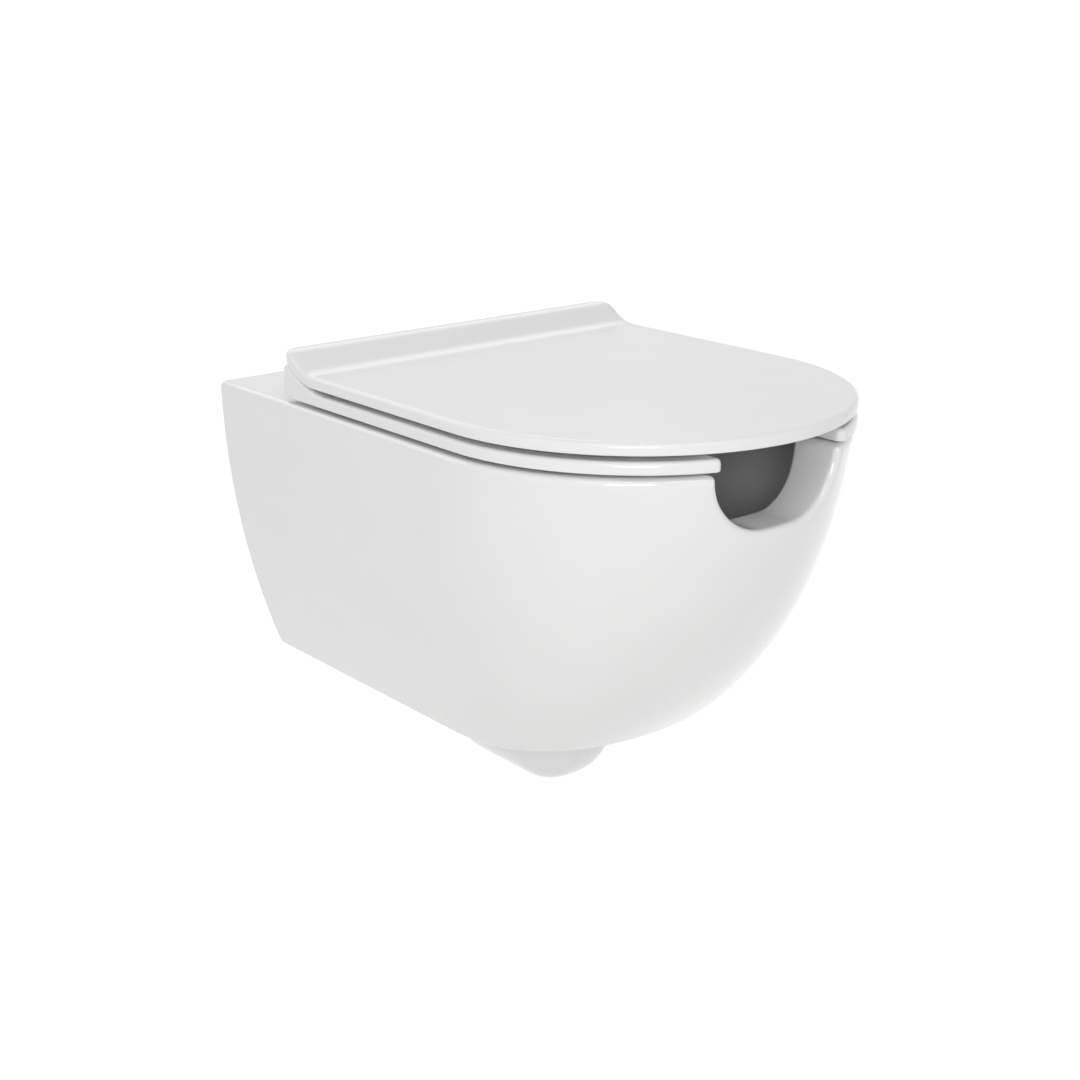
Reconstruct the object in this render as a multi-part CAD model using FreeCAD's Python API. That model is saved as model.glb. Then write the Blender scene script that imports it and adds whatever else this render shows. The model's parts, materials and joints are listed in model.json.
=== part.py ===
import FreeCAD, Part
import math
import os

os.makedirs("parts", exist_ok=True)

V = FreeCAD.Vector
AXIS_X = V(1, 0, 0)
AXIS_Y = V(0, 1, 0)
AXIS_Z = V(0, 0, 1)

# A wall hung pan with an open front seat and a slim lid, in millimetres.
# X is to the right seen from the front, the wall is the plane Y = 0 and the pan stands out
# towards -Y, Z is up. The origin is midway between the two wall studs, on the wall.

# Pan, outside. A depth is measured down from the deck, a reach is measured out from the wall.
DECK_Z = 80.0
DECK_HALF_WIDTH = 182.2
FLANK_RADIUS = 714.0
KEEL_RADIUS = 399.3
KEEL_CENTRE_REACH = 117.0
KEEL_CENTRE_RISE = 45.3
FLANK_LENGTH_LOW = 251.7
FLANK_LENGTH_GAIN = 82.3
FLANK_LENGTH_DECAY = 150.0
NOSE_FULLNESS_TOP = 1.93
NOSE_FULLNESS_GAIN = 0.0015
SKIRT_DEPTH = 258.4
HULL_LEVELS = 8
HULL_OVERRUN = 5.0
RIM_ROUNDING = 5.5
SKIRT_ROUNDING = 4.0
FAR = 700.0

# Pan, inside.
SHELL = 10.0
BACK_WALL = 14.0
DECK_SLAB = 12.0
BASIN_WALL = 9.0
# Basin levels: height, half width, front reach, reach of the widest line, rear reach.
BASIN_LEVELS = (
    (88.0, 137.5, 469.5, 300.0, 186.0),
    (40.0, 135.0, 465.0, 300.0, 186.0),
    (0.0, 125.0, 451.0, 298.0, 189.0),
    (-40.0, 106.0, 419.0, 290.0, 196.0),
    (-80.0, 82.0, 374.0, 280.0, 205.0),
    (-115.0, 60.0, 333.0, 270.0, 214.0),
    (-145.0, 43.0, 304.0, 262.0, 222.0),
    (-172.0, 33.0, 291.0, 258.5, 226.0),
)
BASIN_FRONT_FULLNESS = 2.2
BASIN_REAR_FULLNESS = 2.6

# Front cut-out of the rim.
NOTCH_HALF_WIDTH = 64.0
NOTCH_DEPTH = 50.0
NOTCH_CORNER = 50.0
NOTCH_INNER_REACH = 400.0

# Trap: the centre line of the waterway in the plane X = 0, as (Y, Z).
TRAP_ROUTE = ((-258.0, -140.0), (-258.0, -228.0), (-172.0, -228.0), (-138.0, -100.0), (-62.0, -100.0))
TRAP_BORE_RADIUS = 29.0
TRAP_WALL = 9.0
TRAP_BEND = 42.0
BULGE_HALF_WIDTH = 50.0
BULGE_DEPTH = 88.2
BULGE_FRONT = (234.8, 63.0)
BULGE_REAR = (169.0, 68.0)
BULGE_SECTION_FULLNESS = 2.7
BULGE_END_FULLNESS = 2.15
BULGE_OVERLAP = 8.0

# Connections on the wall side.
STUD_SPACING = 180.0
OUTLET_Z = -100.0
OUTLET_RADIUS = 51.0
OUTLET_BORE_RADIUS = 43.0
OUTLET_FACE_Y = -25.0
OUTLET_LENGTH = 55.0
OUTLET_OPENING_RADIUS = 64.0
INLET_Z = 35.0
INLET_RADIUS = 27.5
INLET_LENGTH = 35.0
INLET_WALL = 8.0
INLET_HOUSING = 80.0
CHANNEL_RADIUS = 20.0
CHANNEL_LENGTH = 165.0
CHANNEL_HOUSING = 190.0
FLUSH_MOUTH = (76.0, 16.0)
FLUSH_MOUTH_REACH = (150.0, 215.0)

# Seat and lid, seen from above.
LID_HALF_WIDTH = 179.0
LID_STRAIGHT_REACH = 334.4
LID_REACH = 515.7
LID_REAR_Y = -94.5
LID_CORNER = 17.0
SEAT_BOTTOM = 3.65
SEAT_THICK = 9.5
SEAT_CORNER = 10.0
SEAT_EDGE = 2.5
SEAT_OPENING = (118.0, 452.0, 300.0, 206.0)
SEAT_GAP_HALF_WIDTH = 62.0
SEAT_END_ROUNDING = 6.0
LID_BOTTOM = 17.8
LID_THICK = 9.5
LID_EDGE = 2.4
LIP_TOP = 43.2
LIP_FOOT_Y = -144.7
LIP_CREST_Y = -99.0
LIP_CONCAVE_SHARE = 0.6

# Hinges. Heights are above the deck.
AXIS_Y_POS = -104.0
AXIS_HEIGHT = 22.0
SEAT_OPEN_DEGREES = 91.0
LID_OPEN_DEGREES = 93.0
SEAT_BARREL_RADIUS = 9.5
SEAT_RAMP_SLOPE = math.radians(37.5)
SEAT_BARREL_END = math.radians(15.0)
HINGE_X = 77.5
HINGE_HOLE_Y = -126.5
HINGE_HOLE_RADIUS = 7.0
SLOT_INNER = 33.5
SLOT_OUTER = 18.5
SLOT_FRONT_Y = -146.0
POST_INNER = 10.0
POST_OUTER = 18.0
POST_RADIUS = 8.5
ARM_ANGLE = math.radians(220.6)
ARM_HALF_THICK = 5.0
ARM_LENGTH = 22.0
FOOT_FRONT_Y = -137.0
FOOT_REAR_Y = -116.0
FOOT_TOP = 10.0
RELIEF_MARGIN = 0.8
BASE_RADIUS = 18.0
BASE_BOTTOM = 1.0
BASE_TOP = 4.0
LUG_RADIUS = 9.2
LUG_INNER = 33.0
LUG_GAP = 0.5
POCKET_RADIUS = 6.5
SEAT_POCKET_LENGTH = 27.0
LID_POCKET_LENGTH = 20.0
PIN_RADIUS = 4.0
PIN_TIP_RADIUS = 3.0
PIN_FLAT_DEPTH = 1.0
PIN_INNER_GAP = 1.5
PIN_OUTER_GAP = 2.0
PRESS_GAP = 0.01
KEY_GAP = 0.03
ROTOR_RADIUS = 4.6
ROTOR_MOUTH_GAP = 1.0
CUP_FLOOR = 1.2
RUNNING_GAP = 0.05
GRUB_RADIUS = 2.0
GRUB_LENGTH = 9.0
GRUB_RECESS = 0.6
GRUB_BORE = 12.0
GRUB_SOCKET = (1.1, 3.0)
FOOT_ROUNDING = 3.0
BASE_CHAMFER = 0.6

# Hinge fixings through the deck.
HINGE_SCREW_RADIUS = 3.0
HINGE_SCREW_HEAD = 6.0
HINGE_SCREW_LENGTH = 40.0
HINGE_SCREW_SINK = 0.2
HINGE_SCREW_RIM = 0.4
# Cross recess: half width, reach, depth.
HINGE_SCREW_CROSS = (0.6, 4.5, 1.4)
SCREW_GAP = 0.2
PLUG_LENGTH = 28.0
PLUG_GAP = 0.1
ANCHOR_NUT_LENGTH = 8.0
ANCHOR_NUT_GAP = 0.5
THREAD_GAP = 0.02

# Concealed wall fixings.
STUD_BORE_RADIUS = 6.5
STUD_GAP = 0.2
SLEEVE_RADIUS = 13.0
SLEEVE_FLANGE = (18.0, 3.0)
PLATE_SIZE = 40.0
PLATE_THICK = 3.0
PLATE_CORNER = 4.0
BRACKET_SIZE = 34.0
BRACKET_LENGTH = 32.0
BRACKET_GAP = 0.3
BRACKET_SHOULDER = 6.0
BRACKET_CHAMFER = 2.0
CLAMP_TIP = (90.0, -23.2, 13.2)
CLAMP_AIM = (77.5, -126.5, 74.5)
CLAMP_RADIUS = 4.0
CLAMP_LENGTH = 62.0
CLAMP_HEAD = (6.5, 8.0)
CLAMP_SOCKET = (3.2, 5.0)
CLAMP_GAP = 0.1
# Bore for the clamp screw: how far behind the tip it starts, and its length.
CLAMP_BORE = (20.0, 100.0)

# Buffers: (X, Y) of one side, and their sizes.
SEAT_BUFFER_SPOTS = ((158.0, -235.0), (97.0, -459.0))
LID_BUFFER_SPOTS = ((150.0, -250.0), (100.0, -450.0))
BUFFER_RADIUS = 7.0
BUFFER_ROUNDING = 1.2
BUFFER_GAP = 0.15
BUFFER_PEG = (2.5, 4.0)
BUFFER_PEG_GAP = 0.3


def cylinder(radius, length, start, direction):
    return Part.makeCylinder(radius, length, start, direction)


def tube(outer, inner, length, start, direction):
    return cylinder(outer, length, start, direction).cut(cylinder(inner, length, start, direction))


def box(low, high):
    return Part.makeBox(high[0] - low[0], high[1] - low[1], high[2] - low[2], V(*low))


def group(shapes):
    return Part.makeCompound(shapes)


def near(value, target, slack=0.05):
    return abs(value - target) < slack


def rounded(shape, radius, test):
    """Rounds the edges whose middle point passes the test."""
    edges = []
    for edge in shape.Edges:
        middle = edge.valueAt((edge.FirstParameter + edge.LastParameter) / 2)
        if test(middle, edge):
            edges.append(edge)
    return shape.makeFillet(radius, edges)


def power(value, fullness):
    """Signed power of a sine or cosine: a fullness of 2 draws an ellipse, more is squarer."""
    return math.copysign(abs(value) ** (2.0 / fullness), value)


def smooth_curve(points):
    """A curve that leaves and reaches the straight flanks of the object along Y."""
    curve = Part.BSplineCurve()
    curve.interpolate(Points=points, InitialTangent=V(0, -1, 0), FinalTangent=V(0, 1, 0))
    return curve.toShape()


def beyond(distance):
    """All the room that is further from the wall than this."""
    return box((-FAR, -FAR, -FAR), (FAR, -distance, FAR))


def d_wire(z, half_width, straight, reach, fullness):
    """D seen from above: straight flanks that run past the wall and a round nose, in one curve."""
    flank_steps = 5
    nose_steps = 28
    right = [V(half_width, -straight * i / flank_steps, z) for i in range(flank_steps)]
    right[0].y = HULL_OVERRUN
    nose = []
    for i in range(nose_steps + 1):
        angle = math.pi * i / nose_steps
        x = half_width * power(math.cos(angle), fullness)
        y = -straight - (reach - straight) * power(math.sin(angle), fullness)
        nose.append(V(x, y, z))
    left = [V(-point.x, point.y, z) for point in reversed(right)]
    points = right + nose + left
    return Part.Wire([smooth_curve(points), Part.makeLine(points[-1], points[0])])


def plan_wire(z, rear_y):
    """Outline that seat and lid share: straight back and flanks, and half an ellipse."""
    centre = V(0, -LID_STRAIGHT_REACH, z)
    right = V(LID_HALF_WIDTH, -LID_STRAIGHT_REACH, z)
    tip = V(0, -LID_REACH, z)
    left = V(-LID_HALF_WIDTH, -LID_STRAIGHT_REACH, z)
    ellipse = Part.Ellipse(tip, right, centre)
    first = ellipse.parameter(right)
    last = ellipse.parameter(left)
    if ellipse.value((first + last) / 2).y > centre.y:
        first, last = last, first
    nose = Part.ArcOfEllipse(ellipse, first, last).toShape()
    right_back = V(LID_HALF_WIDTH, rear_y, z)
    left_back = V(-LID_HALF_WIDTH, rear_y, z)
    edges = [
        Part.makeLine(left_back, right_back),
        Part.makeLine(right_back, right),
        nose,
        Part.makeLine(left, left_back),
    ]
    return Part.Wire(Part.sortEdges(edges)[0])


def oval_wire(z, half_width, front, widest, rear):
    """Closed oval seen from above, with a round front and a squarer rear."""
    steps = 32
    points = []
    for i in range(steps):
        angle = 2 * math.pi * i / steps
        if i <= steps / 2:
            fullness = BASIN_FRONT_FULLNESS
            span = front - widest
        else:
            fullness = BASIN_REAR_FULLNESS
            span = widest - rear
        x = half_width * power(math.cos(angle), fullness)
        y = -widest - span * power(math.sin(angle), fullness)
        points.append(V(x, y, z))
    curve = Part.BSplineCurve()
    curve.interpolate(Points=points, PeriodicFlag=True)
    return Part.Wire([curve.toShape()])


def hull_wire(depth, inset):
    half_width = DECK_HALF_WIDTH - FLANK_RADIUS + math.sqrt(FLANK_RADIUS ** 2 - depth ** 2)
    rise = depth + KEEL_CENTRE_RISE
    reach = KEEL_CENTRE_REACH + math.sqrt(KEEL_RADIUS ** 2 - rise ** 2)
    straight = FLANK_LENGTH_LOW + FLANK_LENGTH_GAIN * math.exp(-depth / FLANK_LENGTH_DECAY)
    fullness = NOSE_FULLNESS_TOP + NOSE_FULLNESS_GAIN * depth
    return d_wire(DECK_Z - depth, half_width - inset, straight, reach - inset, fullness)


def hull(inset, top_depth, bottom_depth):
    wires = []
    for i in range(HULL_LEVELS):
        share = i / (HULL_LEVELS - 1)
        wires.append(hull_wire(top_depth + (bottom_depth - top_depth) * share, inset))
    return Part.makeLoft(wires, True, False)


def basin(wall):
    wires = []
    for z, half_width, front, widest, rear in BASIN_LEVELS:
        wires.append(oval_wire(z, half_width + wall, front + wall, widest, rear - wall))
    return Part.makeLoft(wires, True, False)


def notch(wall):
    """U-shaped cut through the front of the rim, open at the top."""
    half = NOTCH_HALF_WIDTH + wall
    bottom = DECK_Z - NOTCH_DEPTH - wall
    top = DECK_Z + 20.0
    corner = NOTCH_CORNER + wall
    y = -KEEL_CENTRE_REACH - KEEL_RADIUS - 20.0
    low = bottom + corner
    flat = half - corner
    diagonal = corner * math.sqrt(0.5)
    left_arc = Part.Arc(V(-half, y, low), V(-flat - diagonal, y, low - diagonal), V(-flat, y, bottom))
    right_arc = Part.Arc(V(flat, y, bottom), V(flat + diagonal, y, low - diagonal), V(half, y, low))
    edges = [
        Part.makeLine(V(-half, y, top), V(-half, y, low)),
        left_arc.toShape(),
        Part.makeLine(V(-flat, y, bottom), V(flat, y, bottom)),
        right_arc.toShape(),
        Part.makeLine(V(half, y, low), V(half, y, top)),
        Part.makeLine(V(half, y, top), V(-half, y, top)),
    ]
    return Part.Face(Part.Wire(edges)).extrude(V(0, -NOTCH_INNER_REACH - y, 0))


def bent_path(points, bend):
    """Straight runs in the plane X = 0, joined by tangent arcs of one radius."""
    corners = [V(0, y, z) for y, z in points]
    edges = []
    start = corners[0]
    for before, corner, after in zip(corners, corners[1:], corners[2:]):
        back = (before - corner).normalize()
        ahead = (after - corner).normalize()
        half_turn = (math.pi - back.getAngle(ahead)) / 2
        cut = bend * math.tan(half_turn)
        enter = corner + back * cut
        leave = corner + ahead * cut
        inward = (back + ahead).normalize()
        middle = corner + inward * (bend / math.cos(half_turn) - bend)
        edges.append(Part.makeLine(start, enter))
        edges.append(Part.Arc(enter, middle, leave).toShape())
        start = leave
    edges.append(Part.makeLine(start, corners[-1]))
    return Part.Wire(edges)


def trap(radius):
    path = bent_path(TRAP_ROUTE, TRAP_BEND)
    start = V(0, TRAP_ROUTE[0][0], TRAP_ROUTE[0][1])
    ring = Part.Wire(Part.makeCircle(radius, start, V(0, 0, -1)))
    return path.makePipeShell([ring], True, True)


def bulge_wire(y, scale):
    """Rounded keel section: full width at the underside, deepest in the middle."""
    steps = 16
    top = DECK_Z - SKIRT_DEPTH
    points = []
    for i in range(steps + 1):
        angle = math.pi * i / steps
        x = BULGE_HALF_WIDTH * scale * power(math.cos(angle), BULGE_SECTION_FULLNESS)
        z = top - BULGE_DEPTH * scale * power(math.sin(angle), BULGE_SECTION_FULLNESS)
        points.append(V(x, y, z))
    curve = Part.BSplineCurve()
    curve.interpolate(Points=points, InitialTangent=V(0, 0, -1), FinalTangent=V(0, 0, 1))
    lift = V(0, 0, BULGE_OVERLAP)
    edges = [
        curve.toShape(),
        Part.makeLine(points[-1], points[-1] + lift),
        Part.makeLine(points[-1] + lift, points[0] + lift),
        Part.makeLine(points[0] + lift, points[0]),
    ]
    return Part.Wire(edges)


def bulge():
    """Underside swelling that holds the trap, with an elliptical end at front and rear."""
    turns = (87, 80, 70, 58, 44, 30, 15, 0)
    wires = []
    for turn in turns:
        angle = math.radians(turn)
        reach = BULGE_FRONT[0] + BULGE_FRONT[1] * power(math.sin(angle), BULGE_END_FULLNESS)
        wires.append(bulge_wire(-reach, power(math.cos(angle), BULGE_END_FULLNESS)))
    for turn in reversed(turns):
        angle = math.radians(turn)
        reach = BULGE_REAR[0] - BULGE_REAR[1] * power(math.sin(angle), BULGE_END_FULLNESS)
        wires.append(bulge_wire(-reach, power(math.cos(angle), BULGE_END_FULLNESS)))
    return Part.makeLoft(wires, True, False)


def on_rim_edge(point, edge):
    outer = near(point.z, DECK_Z) and point.y < -1.0
    in_notch = abs(point.x) < NOTCH_HALF_WIDTH + 0.1 and point.y < -NOTCH_INNER_REACH
    return outer or in_notch


def pan():
    deck_hole_bottom = DECK_Z - DECK_SLAB - 1.0
    skirt = hull(0.0, 0.0, SKIRT_DEPTH).common(beyond(0.0))
    skirt = rounded(skirt, SKIRT_ROUNDING, lambda p, e: near(p.z, DECK_Z - SKIRT_DEPTH) and p.y < -1.0)
    body = skirt.cut(basin(0.0)).cut(notch(0.0))
    body = rounded(body, RIM_ROUNDING, on_rim_edge)
    body = body.fuse(bulge())

    spigot_start = V(0, OUTLET_FACE_Y, OUTLET_Z)
    waterway = [
        basin(BASIN_WALL),
        trap(TRAP_BORE_RADIUS + TRAP_WALL),
        cylinder(OUTLET_RADIUS, OUTLET_LENGTH, spigot_start, -AXIS_Y),
        cylinder(INLET_RADIUS + INLET_WALL, INLET_HOUSING, V(0, 0, INLET_Z), -AXIS_Y),
        cylinder(CHANNEL_RADIUS + INLET_WALL, CHANNEL_HOUSING, V(0, 0, INLET_Z), -AXIS_Y),
        notch(SHELL),
    ]
    dry = hull(SHELL, DECK_SLAB, SKIRT_DEPTH - SHELL).common(beyond(BACK_WALL))
    for shape in waterway:
        dry = dry.cut(shape)
    body = body.cut(dry)

    mouth_x, mouth_z = FLUSH_MOUTH
    mouth_near, mouth_far = FLUSH_MOUTH_REACH
    voids = [
        trap(TRAP_BORE_RADIUS),
        cylinder(OUTLET_BORE_RADIUS, OUTLET_LENGTH - SHELL, spigot_start, -AXIS_Y),
        cylinder(INLET_RADIUS, INLET_LENGTH, V(0, 0, INLET_Z), -AXIS_Y),
        cylinder(CHANNEL_RADIUS, CHANNEL_LENGTH, V(0, 0, INLET_Z), -AXIS_Y),
        box((-mouth_x / 2, -mouth_far, INLET_Z), (mouth_x / 2, -mouth_near, INLET_Z + mouth_z)),
        cylinder(OUTLET_OPENING_RADIUS, BACK_WALL, V(0, 0, OUTLET_Z), -AXIS_Y),
    ]
    for side in (-1, 1):
        hole = V(side * HINGE_X, HINGE_HOLE_Y, deck_hole_bottom)
        voids.append(cylinder(HINGE_HOLE_RADIUS, DECK_SLAB + 2.0, hole, AXIS_Z))
        stud = V(side * STUD_SPACING / 2, 0, 0)
        voids.append(cylinder(SLEEVE_RADIUS + RUNNING_GAP, BACK_WALL, stud, -AXIS_Y))
    for shape in voids:
        body = body.cut(shape)
    return body


def plan_prism(corner, rear_y, low, high):
    """The outline that seat and lid share, as a block between two heights above the deck."""
    block = Part.Face(plan_wire(DECK_Z + low, rear_y)).extrude(V(0, 0, high - low))

    def at_rear_corner(point, edge):
        upright = near(edge.tangentAt(edge.FirstParameter).z ** 2, 1.0, 0.01)
        return upright and near(point.y, rear_y) and near(abs(point.x), LID_HALF_WIDTH)

    return rounded(block, corner, at_rear_corner)


def side_extrusion(edges):
    """A profile in the Y, Z plane carried across the whole width."""
    face = Part.Face(Part.Wire(edges))
    wide = LID_HALF_WIDTH + 20.0
    face.translate(V(-wide, 0, 0))
    return face.extrude(V(2 * wide, 0, 0))


def side_point(y, height):
    return V(0, y, DECK_Z + height)


def side_arc(centre, radius, first, last):
    """Arc in the Y, Z plane; angles from +Y towards +Z."""
    points = []
    for angle in (first, (first + last) / 2, last):
        points.append(centre + V(0, radius * math.cos(angle), radius * math.sin(angle)))
    return Part.Arc(*points).toShape()


def lid_blank():
    """Flat panel that sweeps up at the rear into a raised lip of the same thickness."""
    rise = LIP_TOP - LID_BOTTOM - LID_THICK
    run = LIP_CREST_Y - LIP_FOOT_Y
    slope = 2 * math.atan(rise / run)
    hollow = run * LIP_CONCAVE_SHARE / math.sin(slope)
    crown = run * (1 - LIP_CONCAVE_SHARE) / math.sin(slope)
    top = LID_BOTTOM + LID_THICK
    hollow_centre = side_point(LIP_FOOT_Y, top + hollow)
    crown_centre = side_point(LIP_CREST_Y, LIP_TOP - crown)
    down = -math.pi / 2
    up = math.pi / 2
    front = -LID_REACH - 10.0
    under_crest = LIP_TOP - LID_THICK
    edges = [
        Part.makeLine(side_point(front, LID_BOTTOM), side_point(front, top)),
        Part.makeLine(side_point(front, top), side_point(LIP_FOOT_Y, top)),
        side_arc(hollow_centre, hollow, down, down + slope),
        side_arc(crown_centre, crown, up + slope, up),
        Part.makeLine(side_point(LIP_CREST_Y, LIP_TOP), side_point(LID_REAR_Y, LIP_TOP)),
        Part.makeLine(side_point(LID_REAR_Y, LIP_TOP), side_point(LID_REAR_Y, under_crest)),
        Part.makeLine(side_point(LID_REAR_Y, under_crest), side_point(LIP_CREST_Y, under_crest)),
        side_arc(crown_centre, crown - LID_THICK, up, up + slope),
        side_arc(hollow_centre, hollow + LID_THICK, down + slope, down),
        Part.makeLine(side_point(LIP_FOOT_Y, LID_BOTTOM), side_point(front, LID_BOTTOM)),
    ]
    panel = side_extrusion(edges).common(plan_prism(LID_CORNER, LID_REAR_Y, LID_BOTTOM, LIP_TOP + 1.0))

    def top_rim(point, edge):
        on_top = point.z > DECK_Z + top - 0.1
        outside = abs(point.x) > LID_HALF_WIDTH - LID_CORNER - 0.1 or point.y < -LID_STRAIGHT_REACH
        crest = near(point.y, LID_REAR_Y) and near(point.z, DECK_Z + LIP_TOP)
        inside_run = abs(edge.tangentAt(edge.FirstParameter).z) < 0.99
        return (on_top and outside and inside_run and not near(abs(point.x), 0, 1.0)) or crest or nose(point)

    def nose(point):
        return near(point.x, 0, 1.0) and near(point.y, -LID_REACH, 1.0) and near(point.z, DECK_Z + top, 0.2)

    return rounded(panel, LID_EDGE, top_rim)


def hinge_axis(x):
    return V(x, AXIS_Y_POS, DECK_Z + AXIS_HEIGHT)


def along_x(radius, x_first, x_last):
    start = min(x_first, x_last)
    return cylinder(radius, abs(x_last - x_first), hinge_axis(start), AXIS_X)


def lid():
    shape = lid_blank()
    for side in (-1, 1):
        inner = side * (HINGE_X - LUG_INNER)
        outer = side * (HINGE_X - POST_INNER - LUG_GAP)
        low_x = min(inner, outer)
        high_x = max(inner, outer)
        low = (low_x, AXIS_Y_POS - LUG_RADIUS, DECK_Z + AXIS_HEIGHT)
        high = (high_x, AXIS_Y_POS + LUG_RADIUS, DECK_Z + LIP_TOP - LID_THICK + 1.0)
        shape = shape.fuse(box(low, high)).fuse(along_x(LUG_RADIUS, low_x, high_x))
        shape = shape.cut(along_x(POCKET_RADIUS, outer, outer - side * LID_POCKET_LENGTH))
        relief = post_arm(side, RELIEF_MARGIN)
        relief.rotate(hinge_axis(0), AXIS_X, SEAT_OPEN_DEGREES + LID_OPEN_DEGREES)
        shape = shape.cut(relief)
        for spot in LID_BUFFER_SPOTS:
            peg = V(side * spot[0], spot[1], DECK_Z + LID_BOTTOM)
            shape = shape.cut(cylinder(BUFFER_PEG[0], BUFFER_PEG[1], peg, AXIS_Z))
    return shape.removeSplitter()


def seat_blank():
    """Slim ring with a low rear block that swells round the hinge axis."""
    top = SEAT_BOTTOM + SEAT_THICK
    rear = AXIS_Y_POS + SEAT_BARREL_RADIUS * math.cos(SEAT_BARREL_END)
    rear_top = AXIS_HEIGHT + SEAT_BARREL_RADIUS * math.sin(SEAT_BARREL_END)
    contact_y = AXIS_Y_POS - SEAT_BARREL_RADIUS * math.sin(SEAT_RAMP_SLOPE)
    contact_z = AXIS_HEIGHT + SEAT_BARREL_RADIUS * math.cos(SEAT_RAMP_SLOPE)
    ramp = (contact_z - top) / (1 - math.cos(SEAT_RAMP_SLOPE))
    foot = contact_y - ramp * math.sin(SEAT_RAMP_SLOPE)
    front = -LID_REACH - 10.0
    down = -math.pi / 2
    edges = [
        Part.makeLine(side_point(front, SEAT_BOTTOM), side_point(front, top)),
        Part.makeLine(side_point(front, top), side_point(foot, top)),
        side_arc(side_point(foot, top + ramp), ramp, down, down + SEAT_RAMP_SLOPE),
        side_arc(hinge_axis(0), SEAT_BARREL_RADIUS, math.pi / 2 + SEAT_RAMP_SLOPE, SEAT_BARREL_END),
        Part.makeLine(side_point(rear, rear_top), side_point(rear, SEAT_BOTTOM)),
        Part.makeLine(side_point(rear, SEAT_BOTTOM), side_point(front, SEAT_BOTTOM)),
    ]
    plan = plan_prism(SEAT_CORNER, rear, SEAT_BOTTOM, LIP_TOP)
    panel = side_extrusion(edges).common(plan)
    half_width, opening_front, opening_widest, opening_rear = SEAT_OPENING
    opening = oval_wire(DECK_Z, half_width, opening_front, opening_widest, opening_rear)
    panel = panel.cut(Part.Face(opening).extrude(V(0, 0, LIP_TOP)))
    gap = SEAT_GAP_HALF_WIDTH
    return panel.cut(box((-gap, -FAR, DECK_Z), (gap, -opening_widest, DECK_Z + LIP_TOP)))


def seat():
    shape = seat_blank()

    def end_corner(point, edge):
        upright = near(edge.tangentAt(edge.FirstParameter).z ** 2, 1.0, 0.01)
        return upright and near(abs(point.x), SEAT_GAP_HALF_WIDTH) and point.y < -400.0

    shape = rounded(shape, SEAT_END_ROUNDING, end_corner)
    top = DECK_Z + SEAT_BOTTOM + SEAT_THICK

    def soft_edge(point, edge):
        on_top = near(point.z, top)
        across = abs(edge.tangentAt((edge.FirstParameter + edge.LastParameter) / 2).x) > 0.999
        ramp_line = across and point.y > -200.0
        return on_top and not ramp_line

    shape = rounded(shape, SEAT_EDGE, soft_edge)
    for side in (-1, 1):
        inner = side * (HINGE_X - SLOT_INNER)
        outer = side * (HINGE_X + SLOT_OUTER)
        low_x = min(inner, outer)
        high_x = max(inner, outer)
        shape = shape.cut(box((low_x, SLOT_FRONT_Y, DECK_Z), (high_x, 0.0, DECK_Z + LIP_TOP)))
        shape = shape.cut(along_x(POCKET_RADIUS, outer, outer + side * SEAT_POCKET_LENGTH))
        for spot in SEAT_BUFFER_SPOTS:
            peg = V(side * spot[0], spot[1], DECK_Z + SEAT_BOTTOM)
            shape = shape.cut(cylinder(BUFFER_PEG[0], BUFFER_PEG[1], peg, AXIS_Z))
    return shape


def buffers(spots, under, gap):
    """Round pads that hang under a panel, each on a peg pressed into the panel."""
    pads = []
    for side in (-1, 1):
        for x, y in spots:
            face = V(side * x, y, DECK_Z + under)
            pad = cylinder(BUFFER_RADIUS, gap - BUFFER_GAP, face, -AXIS_Z)
            pad = rounded(pad, BUFFER_ROUNDING, lambda p, e: p.z < face.z - 0.1 and len(e.Vertexes) == 1)
            peg = cylinder(BUFFER_PEG[0] - RUNNING_GAP, BUFFER_PEG[1] - BUFFER_PEG_GAP, face, AXIS_Z)
            pads.append(pad.fuse(peg).removeSplitter())
    return group(pads)


def hinge_base(side):
    centre = V(side * HINGE_X, HINGE_HOLE_Y, DECK_Z + BASE_BOTTOM)
    disc = cylinder(BASE_RADIUS, BASE_TOP - BASE_BOTTOM, centre, AXIS_Z)
    top_rim = [e for e in disc.Edges if near(e.CenterOfMass.z, DECK_Z + BASE_TOP)]
    disc = disc.makeChamfer(BASE_CHAMFER, top_rim)
    hole = cylinder(HINGE_SCREW_RADIUS + SCREW_GAP, BASE_TOP, centre, AXIS_Z)
    sink_low = V(centre.x, centre.y, DECK_Z + BASE_TOP - HINGE_SCREW_RADIUS)
    sink = Part.makeCone(HINGE_SCREW_RADIUS, HINGE_SCREW_HEAD, HINGE_SCREW_RADIUS, sink_low, AXIS_Z)
    rear_low = (centre.x - BASE_RADIUS, FOOT_REAR_Y, DECK_Z)
    rear_high = (centre.x + BASE_RADIUS, 0, DECK_Z + FOOT_TOP)
    return disc.cut(hole).cut(sink).cut(box(rear_low, rear_high))


def post_span(side, margin):
    """Lowest and highest X of a hinge post, widened by a margin."""
    ends = sorted((side * (HINGE_X - POST_INNER), side * (HINGE_X + POST_OUTER)))
    return ends[0] - margin, ends[1] + margin


def post_arm(side, margin):
    """Slanted arm from the foot up to the hinge axis, thickened by a margin."""
    low_x, high_x = post_span(side, margin)
    along = V(0, math.cos(ARM_ANGLE), math.sin(ARM_ANGLE)) * ARM_LENGTH
    across = V(0, -math.sin(ARM_ANGLE), math.cos(ARM_ANGLE)) * (ARM_HALF_THICK + margin)
    start = hinge_axis(low_x)
    corners = [start + across, start - across, start + along - across, start + along + across]
    face = Part.Face(Part.makePolygon(corners + corners[:1]))
    return face.extrude(V(high_x - low_x, 0, 0))


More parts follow.
